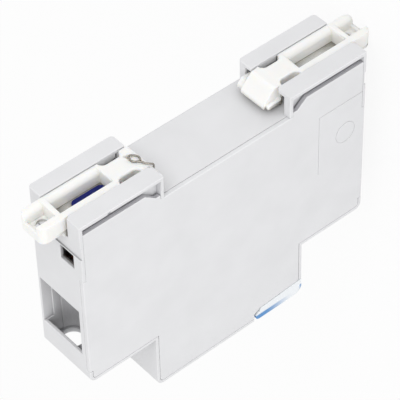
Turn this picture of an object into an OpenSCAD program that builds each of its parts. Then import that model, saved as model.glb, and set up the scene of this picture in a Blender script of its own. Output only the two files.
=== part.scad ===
// Residual current device, one module wide, for a 35 mm mounting rail.
// +Z is up along the device, X runs along the rail and the nose points to -Y.
// The origin is the middle of the rail recess's floor.

/* [Body] */
// Width of the module along the rail
module_w = 17.5; // [17:0.1:18]
// Height of the body, end to end
body_h = 83; // [80:1:90]
// Height of the nose that stands out of the panel
nose_h = 45; // [44:0.1:46]
// Depth from the rail to the front of the shoulders
shoulder_depth = 43.7; // [43:0.1:45]
// Depth from the rail to the front of the nose
nose_depth = 59.7; // [58:0.1:62]
// Thickness of the moulded walls
wall = 1.6; // [1.4:0.1:1.8]
// Radius of the body's front corners
corner_r = 1.8; // [1:0.1:2]

/* [Rail recess and clips] */
// Height of the recess that takes the rail
recess_h = 36.5; // [36:0.1:37]
// Height of the rear shoulders above the rail
rear_lip = 6.2; // [6:0.1:7]
// Thickness of the ribs that hold the clips
rib_t = 1.0; // [0.8:0.1:1.2]
// How far the lower clip's jaw stands into the recess
jaw_reach = 3.4; // [2.5:0.1:4]
// Length of the clips' pull tabs beyond the body
tab_reach = 6.1; // [4.5:0.1:6.5]

/* [Side cover] */
// Thickness of the side cover
cover_t = 1.2; // [1.1:0.1:1.3]
// Width of the case's rim round the cover
rim = 0.9; // [0.7:0.1:1]

/* [Controls] */
// Angle that the toggle turns through from off to on
toggle_throw = 60; // [50:1:60]
// Radius of the toggle's drum
drum_r = 9.3; // [9:0.1:9.4]
// Travel of the test button
button_travel = 1.4; // [1:0.1:1.8]

/* [Terminals] */
// Diameter of the screwdriver holes in the front shoulders
driver_hole_d = 5.7; // [5:0.1:5.8]
// Diameter of the terminal screws' thread
screw_d = 3.5; // [3:0.1:3.6]

/* [Hidden] */
$fn = 48;

// Outer and inner limits of the body
half_w = module_w / 2;
half_h = body_h / 2;
nose_half = nose_h / 2;
recess_half = recess_h / 2;
far_in = -half_w + wall;
cover_in = half_w - cover_t;
front_in = -shoulder_depth + wall;
nose_in = -nose_depth + wall;
end_in = half_h - wall;
nose_end_in = nose_half - wall;

// Gaps: between let-in parts, round running pins and beside sliding parts
seam = 0.05;
running = 0.05;
slide_gap = 0.2;

// Clip channel between the rear ribs
channel_x = [-4.4, 4.1];
rib_under = rear_lip - rib_t;
slit_y = rib_under - 1.7;
rail_post_x = [-half_w + 2.35, half_w - 2.15];
clip_y = [0.1, rear_lip - 0.3];
clip_x = [channel_x[0] + slide_gap, channel_x[1] - slide_gap];
clip_mid = (clip_x[0] + clip_x[1]) / 2;
clip_head_x = [clip_x[0] + 0.2, clip_x[1] - 0.2];
flange_top = rib_under - 0.3;
flange_reach = 1.75;
clip_bar_w = 1.9;
clip_bar_r = 1.5;
slot_x = [clip_x[0] + clip_bar_w, clip_x[1] - clip_bar_w];
slot_z = [half_h - 14.5, half_h - 0.5];
neck_x = [clip_x[0] + 1.3, clip_x[1] - 1.6];
neck_z0 = recess_half + 2.05;
tab_y = [1.2, clip_y[1]];
tab_end = half_h + tab_reach;
tab_pocket_z = [half_h + 0.9, tab_end - 0.8];
tab_floor = tab_y[0] + 1.6;
tab_lip = tab_floor + 1;
jaw_under = 1.3;
head_z = [recess_half - 0.85, recess_half - seam];
slot_floor = clip_y[1] - 3.8;
clip_spring_r = 0.55;
clip_spring_wire = 0.14;
spring_post_z = slot_z[0] + 3.6;
spring_post_t = 1.2;
spring_bore_end = neck_z0 + 0.7;
spring_top = slot_floor - 0.4;
spring_axis = [clip_mid, clip_spring_r + clip_spring_wire + slide_gap];
leaf_half = 1.55;
leaf_t = 0.5;

// Depth by which the shapes of one moulding run into each other
weld = 0.5;

// Openings of the upper end
window_x = [-half_w + 1.2, cover_in - 1.35];
window_y = [-36, -21.8];
bus_x = [1.3, 5.9];
bus_y = [-8.3, -4.1];
pocket_back = half_h - 8.1;
divider_t = 1.2;
end_ledge = 3.7;
end_ledge_drop = 0.35;

// Terminals at the lower end
pole_x = 3.65;
driver_z = end_in - 3.2;
cage_half = 3.0;
cage_open_half = 2.3;
cage_y = [front_in + 5.6, front_in + 15.6];
cage_z = [-end_in + 0.3, -end_in + 5.5];
cage_nut_t = 2;
cage_floor_t = 1.2;
cage_stop = [cage_y[1] + 0.15, cage_y[1] + 1.3];
strap_y = [cage_y[0] + cage_nut_t + 0.4, cage_y[0] + cage_nut_t + 1.4];
strap_half = 2.1;
terminal_wall = [cage_z[1] + 0.8, cage_z[1] + 2];
strap_end = terminal_wall[1] + 0.8;
head_r = driver_hole_d / 2 + 0.2;
head_t = 2;
entry_y = [strap_y[1] + 0.1, cage_y[1] - 0.9];

// Label flap and its hinge
flap_knuckle = 1.12;
flap_axis = [-nose_depth + flap_knuckle + 0.03, -nose_half + 13.5];
flap_t = 1.1;
flap_gap = 0.2;
flap_zone_top = flap_axis[1] + 1.5;
flap_floor = -nose_depth + 4.5;
flap_back = flap_axis[0] + flap_knuckle;
flap_block_z = flap_axis[1] - 1.6;
flap_shoulder = [flap_floor - 1.2, flap_axis[1] - 0.5];
flap_skirt_back = flap_floor - 0.3;
flap_corner_r = 2.3;
flap_pin_r = 0.5;
lug_x = [4.05, 5.55];
lug_r = 0.95;
card_x = half_w - 1.95;
card_z = [-nose_half + 1.9, flap_axis[1] - 2.6];
card_y = [-nose_depth + flap_t + 0.6, -nose_depth + flap_t + 1];

// Toggle, and the contact carrier that its crank drives through a slot
toggle_axis = [-nose_depth + 8.2, 4];
carrier_axis = [-26, 4];
toggle_off = toggle_throw / 2;
crank_r = 5.5;
crank_pin_r = 0.9;
crank_play = 0.3;
axle_r = 1.0;
boss_r = 2.2;
far_boss = far_in + 0.95;
cover_boss = cover_in - 1.35;
drum_half = 3.2;
drum_gap = 0.3;
handle_r = drum_r + 5.7;
handle_t = 3;
axle_span = carrier_axis[0] - toggle_axis[0];
crank_side = crank_r * sin(toggle_off);
crank_back = axle_span - crank_r * cos(toggle_off);
carrier_off = atan(crank_side / crank_back);
pin_near = axle_span - crank_r;
pin_far = norm([crank_back, crank_side]);
window_half = sqrt(drum_r * drum_r - pow(toggle_axis[0] - nose_in, 2)) + drum_gap;
blade_x = [2.4, 4.6];
blade_half_t = 0.5;
blade_y = [2, 14.5];
tip_y = 13;
tip_r = 1.1;
tip_t = 0.8;
contact_gap = 0.1;
tip_top = blade_half_t + tip_t;
fixed_tip_low = carrier_axis[1] + (tip_y + tip_r) * sin(carrier_off) + tip_top * cos(carrier_off);
fixed_tip_z = [fixed_tip_low + contact_gap, fixed_tip_low + contact_gap + 0.75];
fixed_tip_y = carrier_axis[0] + tip_y * cos(carrier_off) - tip_top * sin(carrier_off);
bar_t = 1.0;
bar_y = [-9.6, -9.6 + bar_t];
bar_x = [2.2, 4.8];
stab_y = [window_y[1] - 1.6, window_y[1] - 0.6];

// Test button
button_z = [nose_half - 8.9, nose_half - 3.7];
button_half = 3.3;
button_proud = 1.2;
button_gap = 0.15;
button_mid = (button_z[0] + button_z[1]) / 2;
button_flange_t = 1;
button_flange_over = 0.8;
button_shelf_y = [nose_in + 5.9, nose_in + 7.1];
stem_r = 1.0;
stem_end = button_shelf_y[1] + 0.5;
above_drum = toggle_axis[1] + drum_r + 0.6;
test_leaf_y = [stem_end + button_travel + 0.2, stem_end + button_travel + 0.6];

// Residual current transformer and its conductors
toroid_at = [(far_in + cover_in) / 2, -12.2];
core_r = [3.7, 5.5];
core_z = [-22, -16.5];
wire_r = 0.3;
wire_gap = 0.05;
toroid_turns = 20;
conductor_r = 1.1;
conductor_offset = 1.3;
toroid_shelf = core_z[0] - 2 * wire_r - wire_gap;
lug_span = [cover_boss - 1.1, cover_boss - 0.1];
lug_mid = (lug_span[0] + lug_span[1]) / 2;
lug_tail = carrier_axis[1] - 3.1;

// Circuit board and trip relay
board_x = [far_in + 1.15, far_in + 2.35];
board_y = [front_in + 0.8, front_in + 19.6];
board_z = [terminal_wall[1] + 5.4, -5.5];
peg_y = [board_y[0] + 1.4, board_y[1] - 1.5];
peg_z = [board_z[0] + 1.4, board_z[1] - 1.4];
peg_r = 0.6;
relay_x = [board_x[1], cover_in - 1.55];
relay_y = [front_in + 1.1, front_in + 10.5];
relay_z = [board_z[1] - 11.9, board_z[1] - 0.9];
relay_wall = 1.0;
relay_mid = [(relay_x[0] + relay_x[1]) / 2, (relay_y[0] + relay_y[1]) / 2];
plunger_r = 1.2;
plunger_tip = [0.5, 0.8];
lever_axis = [relay_y[1] + 0.6, relay_z[1] + 2.7];
lever_z = [lever_axis[1] - 0.7, lever_axis[1] + 0.7];
lever_half = 2.0;
lever_pin_r = 0.6;
plunger_top = lever_z[0] - 0.25;
ear_t = 1.0;
ear_gap = 0.1;

// Colours
shell_grey = [0.88, 0.88, 0.89];
clip_white = [0.96, 0.96, 0.94];
flap_blue = [0.68, 0.79, 0.88, 0.6];
steel = [0.72, 0.73, 0.75];
blued_steel = [0.16, 0.18, 0.30];
copper = [0.80, 0.48, 0.30];
brass = [0.80, 0.66, 0.36];
silver = [0.86, 0.87, 0.88];
black_plastic = [0.12, 0.12, 0.13];

// Box between two corners, given as a range along each axis
module block(x, y, z) {
    translate([x[0], y[0], z[0]])
        cube([x[1] - x[0], y[1] - y[0], z[1] - z[0]]);
}

// Side outline drawn as (Y, Z), made solid from one X to the other
module side_extrude(x) {
    translate([x[0], 0, 0])
        rotate([90, 0, 90])
            linear_extrude(x[1] - x[0])
                children();
}

// Front outline drawn as (X, Z), made solid from one Y to the other
module plan_extrude(y) {
    translate([0, y[1], 0])
        rotate([90, 0, 0])
            linear_extrude(y[1] - y[0])
                children();
}

// Round bar along X
module bar_x_round(x, at, r) {
    translate([x[0], at[0], at[1]])
        rotate([0, 90, 0])
            cylinder(r = r, h = x[1] - x[0]);
}

// Round bar along Y
module bar_y_round(y, at, r) {
    translate([at[0], y[0], at[1]])
        rotate([-90, 0, 0])
            cylinder(r = r, h = y[1] - y[0]);
}

// Flat rectangle between two corners
module rect(a, b) {
    translate([a[0], a[1]])
        square([b[0] - a[0], b[1] - a[1]]);
}

// Flat rectangle with four round corners
module round_rect(a, b, r) {
    rect([a[0] + r, a[1]], [b[0] - r, b[1]]);
    rect([a[0], a[1] + r], [b[0], b[1] - r]);
    for (x = [a[0] + r, b[0] - r])
        for (y = [a[1] + r, b[1] - r])
            translate([x, y])
                circle(r);
}

// Rectangle with its two corners at the low first coordinate rounded
module front_rounded(a, b, r) {
    rect([a[0] + r, a[1]], b);
    rect([a[0], a[1] + r], [b[0], b[1] - r]);
    for (z = [a[1] + r, b[1] - r])
        translate([a[0] + r, z])
            circle(r);
}

// Both ends of the body: the children as drawn and mirrored top to bottom
module both_ends() {
    for (s = [0, 1])
        mirror([0, 0, s])
            children();
}

// Sweep of a round wire along a list of points
function unit(v) = v / norm(v);
function heading(p, i) = unit(p[min(i + 1, len(p) - 1)] - p[max(i - 1, 0)]);
function ring(c, t, side, r, n) =
    let (u = unit(cross(t, side)), v = cross(t, u))
    [for (k = [0 : n - 1]) c + r * (cos(360 * k / n) * u + sin(360 * k / n) * v)];

module wire(path, r, side, sides = 6) {
    last = len(path) - 1;
    points = [for (i = [0 : last]) each ring(path[i], heading(path, i), side, r, sides)];
    walls = [
        for (i = [0 : last - 1])
            for (k = [0 : sides - 1])
                let (next = (k + 1) % sides)
                [i * sides + k, (i + 1) * sides + k, (i + 1) * sides + next, i * sides + next]
    ];
    start = [for (k = [0 : sides - 1]) k];
    finish = [for (k = [sides - 1 : -1 : 0]) last * sides + k];
    polyhedron(points, concat(walls, [start, finish]));
}

// Smooth route through hand-set points
function spline(a, b, c, d, t) =
    0.5 * (2 * b + (c - a) * t + (2 * a - 5 * b + 4 * c - d) * t * t
        + (3 * b - a - 3 * c + d) * t * t * t);
function route(p, steps) = [
    for (i = [0 : len(p) - 2])
        for (k = [0 : steps - 1])
            spline(p[max(i - 1, 0)], p[i], p[i + 1], p[min(i + 2, len(p) - 1)], k / steps),
    p[len(p) - 1]
];

// Helix along +Z from the origin, with a closed-up first and last turn left out
rings_per_turn = 8;
function helix(r, length, turns) = [
    for (i = [0 : turns * rings_per_turn])
        let (a = 360 * i / rings_per_turn, z = length * i / (turns * rings_per_turn))
        [r * cos(a), r * sin(a), z]
];

// Least gap between one turn of a wire and the turns after it
function least_gap(path, r, per_turn) = min([
    for (i = [0 : len(path) - 1])
        for (j = [i + per_turn - 2 : min(i + per_turn + 2, len(path) - 1)])
            norm(path[i] - path[j]) - 2 * r
]);

// Outlines of the case

module body_outline() {
    front_rounded([-shoulder_depth, -half_h], [0, half_h], corner_r);
    front_rounded([-nose_depth, -nose_half], [-shoulder_depth + corner_r, nose_half], corner_r);
}

module cavity_outline() {
    rect([front_in, -end_in], [-wall, end_in]);
    rect([nose_in, -nose_end_in], [front_in + wall, nose_end_in]);
}

// Region of the nose that the flap takes up, grown by a gap
module flap_zone() {
    beyond = 1;
    polygon([
        [-nose_depth - beyond, flap_zone_top],
        [flap_back + flap_gap, flap_zone_top],
        [flap_shoulder[0] + flap_gap, flap_shoulder[1] + flap_gap],
        [flap_skirt_back + flap_gap, -nose_half],
        [flap_skirt_back + flap_gap, -nose_half - beyond],
        [-nose_depth - beyond, -nose_half - beyond]
    ]);
}

module cover_outline(gap) {
    tab_from = -40.2;
    tab_to = -10.6;
    slope_z = [recess_half + 2.25, recess_half + 5.15];
    slope_y = 1.2;
    edge = rim - gap;
    difference() {
        union() {
            front_rounded([-shoulder_depth + edge, -half_h + edge], [0, half_h - edge], corner_r - edge);
            front_rounded([-nose_depth + edge, -nose_half + edge], [-shoulder_depth + wall, nose_half - edge],
                corner_r - edge);
            rect([tab_from - gap, -half_h], [tab_to + gap, half_h]);
            for (s = [-1, 1])
                polygon([
                    [-wall, s * (recess_half + rim + seam - gap)],
                    [slope_y, s * (recess_half + rim + seam - gap)],
                    [slope_y, s * slope_z[0]],
                    [slit_y, s * slope_z[1]],
                    [slit_y, s * (half_h - edge)],
                    [-wall, s * (half_h - edge)]
                ]);
        }
        flap_zone();
    }
}

// Case: left wall, rear wall, ends, shoulders and nose, open on the right for the cover

module near_rib_plan() {
    rib_r = 1.2;
    round_rect([channel_x[1], recess_half], [half_w, half_h], rib_r);
    rect([channel_x[1] + rib_r, recess_half], [half_w, half_h]);
}

// Waste outside a round upright corner of the far wall, which runs from z towards the inward side
module far_corner_waste(z, inward, y) {
    corner = 1;
    over = 1;
    plan_extrude(y)
        difference() {
            rect([-half_w - over, min(z - inward * over, z + inward * corner)],
                [-half_w + corner, max(z - inward * over, z + inward * corner)]);
            translate([-half_w + corner, z + inward * corner])
                circle(corner);
        }
}

module shoulder() {
    end_post_x = [channel_x[0] - 0.3, channel_x[1] + 0.5];
    lip_z = [neck_z0 + 0.55, slot_z[0] - 1];
    groove_floor = half_w - 1.55;
    block([-half_w, far_in], [0, rear_lip], [recess_half, half_h]);
    block([far_in - weld, channel_x[0]], [rib_under - 1.2, rib_under + weld], lip_z);
    block([groove_floor - 0.8, groove_floor], [-weld, rib_under + weld],
        [recess_half + rim / 2, half_h - rim / 2]);
    block([-half_w, channel_x[0]], [rib_under, rear_lip], [recess_half, half_h]);
    plan_extrude([rib_under, rear_lip])
        near_rib_plan();
    for (x = [[-half_w, end_post_x[0]], [end_post_x[1], half_w]])
        block(x, [0, rear_lip], [half_h - rim, half_h]);
    for (x = [[-half_w, rail_post_x[0]], [rail_post_x[1], half_w]])
        block(x, [0, rear_lip], [recess_half, recess_half + rim]);
}

// Ribs and bosses that seat the inner parts on the left wall
module seats() {
    rib_x = [far_in, bar_x[1] + 0.7];
    shelf_t = 1.3;
    shelf_half = 6.2;
    shelf_slot = 3;
    block(rib_x, [bar_y[1], bar_y[1] + divider_t], [14, 16]);
    block(rib_x, [bar_y[0] - divider_t, bar_y[0]], [18, 19.5]);
    difference() {
        block([far_in, cover_in - 0.65], [toroid_at[1] - shelf_half, toroid_at[1] + shelf_half],
            [toroid_shelf - shelf_t, toroid_shelf]);
        block([toroid_at[0] - shelf_slot, half_w], [toroid_at[1] - shelf_slot, toroid_at[1] + shelf_slot],
            [toroid_shelf - shelf_t - 1, toroid_shelf + 1]);
    }
    for (y = peg_y)
        for (z = peg_z) {
            bar_x_round([far_in, board_x[0]], [y, z], peg_r * 2.2);
            bar_x_round([board_x[0], board_x[1]], [y, z], peg_r);
        }
    for (at = [toggle_axis, carrier_axis])
        difference() {
            bar_x_round([far_in, far_boss], at, boss_r);
            bar_x_round([far_in + 0.2, far_boss + 1], at, axle_r + seam / 2);
        }
    difference() {
        block([far_in, button_half + 1.7], button_shelf_y, [above_drum, nose_end_in]);
        bar_y_round([button_shelf_y[0] - 1, button_shelf_y[1] + 1], [0, button_mid], stem_r + slide_gap);
    }
    block([far_in, button_half], [test_leaf_y[1], test_leaf_y[1] + divider_t],
        [nose_end_in - 2.4, nose_end_in]);
}

// Walls round the empty upper pocket and the two lower terminals
module dividers() {
    stab_slot = [-bar_x[1] - seam, -bar_x[0] + seam];
    pole_gap_half = pole_x - cage_half - 0.15;
    difference() {
        union() {
            block([far_in, cover_in], [front_in, window_y[1] + divider_t],
                [pocket_back - divider_t, pocket_back]);
            block([far_in, cover_in], [window_y[1], window_y[1] + divider_t],
                [pocket_back, end_in]);
        }
        block(stab_slot, [stab_y[0] - seam, stab_y[1] + seam], [pocket_back - 2, pocket_back + 1]);
    }
    difference() {
        block([far_in, cover_in], [front_in, window_y[1] + weld], [pocket_back - weld, driver_z]);
        for (s = [-1, 1])
            bar_y_round([front_in - 1, window_y[1]], [s * pole_x, driver_z], driver_z - pocket_back);
        block(stab_slot, [stab_y[0] - seam, stab_y[1] + seam], [pocket_back - 2, end_in]);
    }
    difference() {
        block([far_in, cover_in], [front_in, cage_stop[1]], terminal_wall);
        for (s = [-1, 1])
            block([s * pole_x - strap_half - seam, s * pole_x + strap_half + seam], strap_y,
                [terminal_wall[0] - 1, terminal_wall[1] + 1]);
    }
    block([-pole_gap_half, pole_gap_half], [front_in, cage_stop[1]], [-end_in, terminal_wall[0]]);
    block([far_in, cover_in], cage_stop, [-end_in, terminal_wall[0]]);
}

// Floor, end wall, label pad and hinge lugs under the flap
module flap_seat() {
    step_t = 1.6;
    block([-half_w, cover_in], [flap_floor, flap_floor + wall], [-nose_half, flap_zone_top + step_t]);
    block([-half_w, cover_in], [nose_in - wall, flap_floor + wall], [flap_zone_top, flap_zone_top + step_t]);
    block([-card_x, card_x], [card_y[1], flap_floor], card_z);
    for (s = [0, 1])
        mirror([s, 0, 0])
            difference() {
                side_extrude(lug_x) {
                    translate(flap_axis)
                        circle(lug_r);
                    rect([flap_axis[0], flap_axis[1] - lug_r], [flap_floor, flap_axis[1] + lug_r]);
                }
                bar_x_round([lug_x[0] - 1, lug_x[1] + 1], flap_axis, flap_pin_r);
            }
}

module case_openings() {
    over = 1;
    window_wall = 0.9;
    bus_step = 0.7;
    block(window_x, window_y, [end_in - over, half_h + over]);
    block([far_in, window_x[1] + window_wall], [front_in, window_y[1]],
        [end_in - over, half_h - window_wall]);
    block(bus_x, bus_y, [end_in - over, half_h + over]);
    block([bus_x[0] - bus_step, bus_x[1] + bus_step], [bus_y[0] - bus_step, bus_y[1] + bus_step],
        [end_in - over, half_h - window_wall]);
    for (s = [-1, 1]) {
        block([s * pole_x - cage_open_half - seam, s * pole_x + cage_open_half + seam], entry_y,
            [-half_h - over, -end_in + over]);
        for (z = [-driver_z, driver_z])
            bar_y_round([-shoulder_depth - over, front_in + over], [s * pole_x, z], driver_hole_d / 2);
    }
    block([-drum_half - drum_gap, drum_half + drum_gap], [-nose_depth - over, nose_in + over],
        [toggle_axis[1] - window_half, toggle_axis[1] + window_half]);
    block([-button_half - button_gap, button_half + button_gap], [-nose_depth - over, nose_in + over],
        [button_z[0] - button_gap, button_z[1] + button_gap]);
    both_ends()
        block([-half_w - over, half_w + over], [-end_ledge, 0],
            [half_h - end_ledge_drop, half_h + over]);
    block([half_w - 0.6, half_w + over], [rib_under - over, rib_under + 0.45], [half_h - 8.6, half_h - 7.9]);
}

module case_shell() {
    color(shell_grey)
        difference() {
            union() {
                difference() {
                    side_extrude([-half_w, half_w])
                        body_outline();
                    side_extrude([far_in, half_w + 1])
                        cavity_outline();
                    side_extrude([-half_w - 1, half_w + 1])
                        flap_zone();
                }
                seats();
                dividers();
                flap_seat();
                both_ends()
                    shoulder();
                spring_post();
            }
            side_extrude([cover_in, half_w + 1])
                cover_outline(seam);
            case_openings();
            both_ends() {
                far_corner_waste(half_h, -1, [-shoulder_depth - 1, rear_lip + 1]);
                far_corner_waste(recess_half, 1, [0, rear_lip + 1]);
            }
        }
}

// Post in the lower channel that the clip's spring pushes against
module spring_post() {
    block([slot_x[0] + 0.6, slot_x[1] - 0.6], [-weld, spring_top - slide_gap],
        [-spring_post_z - spring_post_t, -spring_post_z]);
}

module side_cover() {
    line_w = 0.16;
    line_depth = 0.12;
    panel_y = -5.6;
    panel_z = -half_h + 14.2;
    panel_front = -23.6;
    dial_at = [-15.1, -half_h + 6];
    dial_r = 3;
    color(shell_grey)
        difference() {
            union() {
                side_extrude([cover_in, half_w])
                    cover_outline(0);
                for (at = [toggle_axis, carrier_axis])
                    bar_x_round([cover_boss, cover_in], at, boss_r);
            }
            for (at = [toggle_axis, carrier_axis])
                bar_x_round([cover_boss - 1, half_w - 0.8], at, axle_r + seam / 2);
            both_ends()
                block([0, half_w + 1], [-end_ledge, 0], [half_h - end_ledge_drop, half_h + 1]);
            side_extrude([half_w - line_depth, half_w + 1]) {
                rect([panel_y, -half_h], [panel_y + line_w, panel_z + line_w]);
                rect([panel_front, panel_z], [panel_y, panel_z + line_w]);
                translate(dial_at)
                    difference() {
                        circle(dial_r);
                        circle(dial_r - line_w);
                    }
            }
        }
}

// Label flap: front plate with a hinge barrel, side skirts and a lower wall

module flap_outline() {
    corner = [-nose_depth + flap_corner_r, -nose_half + flap_corner_r];
    difference() {
        polygon([
            [-nose_depth, flap_axis[1]],
            [flap_back, flap_axis[1]],
            flap_shoulder,
            [flap_skirt_back, -nose_half],
            [-nose_depth, -nose_half]
        ]);
        difference() {
            rect([-nose_depth - 1, -nose_half - 1], corner);
            translate(corner)
                circle(flap_corner_r);
        }
    }
}

module flap_hollow() {
    inner = -nose_depth + flap_t;
    lower = -nose_half + flap_t;
    chamfer = 0.9;
    top = flap_block_z + 0.15;
    open_back = flap_floor + 1;
    polygon([
        [inner, top],
        [flap_back, top],
        [flap_back, flap_axis[1] + 1],
        [open_back, flap_axis[1] + 1],
        [open_back, lower],
        [inner + chamfer, lower],
        [inner, lower + chamfer]
    ]);
}

module label_flap() {
    skirt_in = half_w - flap_t;
    notch_gap = 0.1;
    color(flap_blue)
        difference() {
            union() {
                side_extrude([-half_w, half_w])
                    flap_outline();
                bar_x_round([-half_w, half_w], flap_axis, flap_knuckle);
            }
            side_extrude([-skirt_in, skirt_in])
                flap_hollow();
            bar_x_round([-skirt_in, skirt_in], flap_axis, flap_pin_r + running);
            for (s = [0, 1])
                mirror([s, 0, 0])
                    block([lug_x[0] - notch_gap, lug_x[1] + notch_gap],
                        [-nose_depth - 1, flap_axis[0] + 2],
                        [flap_block_z + 0.1, flap_axis[1] + 2]);
        }
}

module label_flap_pin() {
    end = half_w - flap_t - 0.1;
    color(steel)
        bar_x_round([-end, end], flap_axis, flap_pin_r);
}

module label_card() {
    color([0.93, 0.95, 0.97])
        block([-card_x, card_x], card_y, card_z);
}

// Rail clips: a slide with a blind slot, a notched neck and a pull tab, with a head of their own

module clip_plan(head_end) {
    notch_r = 1.4;
    notch_z = [neck_z0, slot_z[0] - 1];
    difference() {
        rect([clip_x[0], head_end], [clip_x[1], half_h + 0.4]);
        round_rect([clip_x[0] - 3, notch_z[0]], [neck_x[0], notch_z[1]], notch_r);
        round_rect([neck_x[1], notch_z[0]], [clip_x[1] + 3, notch_z[1]], notch_r);
    }
}

// Pull tab with round corners and a round eye in its floor
module tab_plan() {
    tab_r = 1.7;
    eye_at = [clip_mid - 0.6, tab_pocket_z[0] + 1.6];
    eye_r = 1.4;
    difference() {
        union() {
            rect([clip_x[0], half_h - 0.1], [clip_x[1], tab_end - tab_r]);
            round_rect([clip_x[0], half_h], [clip_x[1], tab_end], tab_r);
        }
        translate(eye_at)
            circle(eye_r);
    }
}

// Waste of a slot between the clip's two bars, whose far bar has a round shoulder
module clip_slot(z, floor_y) {
    bar_at = [slot_x[0] - clip_bar_r, clip_y[1] - clip_bar_r];
    translate([0, 0, z[0]])
        linear_extrude(z[1] - z[0]) {
            rect([slot_x[0], floor_y], [slot_x[1], clip_y[1] + 1]);
            difference() {
                rect(bar_at, [slot_x[0] + weld, clip_y[1] + 1]);
                translate(bar_at)
                    circle(clip_bar_r);
            }
        }
}

module clip_frame(flange_z, head_end) {
    difference() {
        union() {
            plan_extrude(clip_y)
                clip_plan(head_end);
            plan_extrude([clip_y[0], flange_top]) {
                rect([clip_x[0] - flange_reach, flange_z[0]], [clip_x[0] + weld, flange_z[1]]);
                rect([clip_x[1] - weld, flange_z[0]], [clip_x[1] + flange_reach, flange_z[1]]);
            }
            plan_extrude(tab_y)
                tab_plan();
        }
        clip_slot(slot_z, slot_floor);
        clip_slot(tab_pocket_z, tab_floor);
        clip_slot([tab_pocket_z[1] - weld, tab_end + 1], tab_lip);
    }
}

// Bar along the recess's edge, with a sloped top and a back that may run into the slide
function head_profile(back) = [
    [jaw_under, head_z[0]],
    [jaw_under, back],
    [clip_y[1], back],
    if (back > head_z[1]) [clip_y[1], head_z[1]],
    [clip_y[1] - 0.5, head_z[0]]
];

module upper_rail_clip() {
    hole_at = [-1.55, recess_half + 1.45];
    wire_hole_r = 0.5;
    arm_end = half_w - 1.25;
    color(clip_white)
        difference() {
            union() {
                clip_frame([half_h - 11.5, half_h - 4.5], head_z[1]);
                side_extrude(clip_x)
                    polygon(head_profile(head_z[1] + weld));
                side_extrude([clip_x[1] - weld, arm_end])
                    polygon(head_profile(head_z[1]));
            }
            bar_y_round([clip_y[1] - 1.7, clip_y[1] + 1], hole_at, wire_hole_r);
        }
}

module upper_clip_wire() {
    wire_d = 0.7;
    top = clip_y[1] + wire_d / 2 + 0.02;
    edge = head_z[0] - wire_d / 2 - 0.02;
    path = route([
        [-1.55, clip_y[1] - 1.7, edge + 2.7],
        [-1.55, top - 0.4, edge + 2.7],
        [-1.2, top, edge + 2.2],
        [-0.3, top, edge + 1.2],
        [0.6, top, edge + 0.9],
        [1.6, top, edge + 1.1],
        [2.6, top - 0.1, edge + 0.6],
        [3.3, top - 0.2, edge],
        [3.9, top - 1.2, edge],
        [4.0, top - 2.6, edge]
    ], 2);
    color(steel)
        wire(path, wire_d / 2, [0.35, 0.25, 0.9]);
}

module leaf_spring(seat, z) {
    end_r = 1.2;
    rivet_hole_r = 0.5;
    color(blued_steel)
        difference() {
            plan_extrude([seat, seat + leaf_t])
                round_rect([clip_mid - leaf_half, z[0]], [clip_mid + leaf_half, z[1]], end_r);
            bar_y_round([seat - 1, seat + leaf_t + 1], [clip_mid, (z[0] + z[1]) / 2], rivet_hole_r);
        }
}

module upper_clip_leaf() {
    leaf_spring(slot_floor, [slot_z[0] + slide_gap, slot_z[1] - 5]);
}

module lower_clip_leaf() {
    mirror([0, 0, 1])
        leaf_spring(0, [spring_post_z + spring_post_t + 0.6, slot_z[1] - 0.6]);
}

module lower_rail_clip() {
    jaw_tip = recess_half - jaw_reach;
    jaw_root = recess_half + 1.2;
    jaw_edge = jaw_under + 1.1;
    wing_set_back = 0.6;
    wings = [
        [[clip_head_x[0] - 2, clip_head_x[0] + weld], jaw_edge + 1.4],
        [[clip_head_x[1] - weld, clip_head_x[1] + 0.9], jaw_edge + 0.4]
    ];
    color(clip_white)
        mirror([0, 0, 1])
            difference() {
                union() {
                    clip_frame([half_h - 13.5, half_h - 5.5], jaw_root);
                    side_extrude(clip_head_x)
                        polygon([
                            [jaw_under, jaw_root + weld], [jaw_under, jaw_tip], [jaw_edge, jaw_tip],
                            [clip_y[1], recess_half - 0.2], [clip_y[1], jaw_root + weld]
                        ]);
                    for (wing = wings)
                        side_extrude(wing[0])
                            polygon([
                                [jaw_under, jaw_root], [jaw_under, jaw_tip + wing_set_back],
                                [jaw_edge, jaw_tip + wing_set_back],
                                [wing[1], recess_half - 1.4], [wing[1], jaw_root]
                            ]);
                }
                plan_extrude([clip_y[0] - 1, spring_top])
                    rect([clip_mid - leaf_half - slide_gap, spring_bore_end],
                        [clip_mid + leaf_half + slide_gap, slot_z[1]]);
            }
}

module lower_clip_spring() {
    length = spring_post_z - spring_bore_end - 2 * clip_spring_wire;
    path = helix(clip_spring_r, length, 9);
    echo(str("lower_clip_spring least gap ", least_gap(path, clip_spring_wire, rings_per_turn)));
    color(steel)
        translate([spring_axis[0], spring_axis[1], -spring_post_z + clip_spring_wire])
            wire(path, clip_spring_wire, [0, 0, 1]);
}

// Toggle and contact carrier, drawn straight and then tilted to the off position

module wedge(a, r) {
    polygon([
        [0, 0],
        r * [-cos(a), -sin(a)],
        r * [-2, -2],
        r * [-2, 2],
        r * [-cos(a), sin(a)]
    ]);
}

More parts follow.
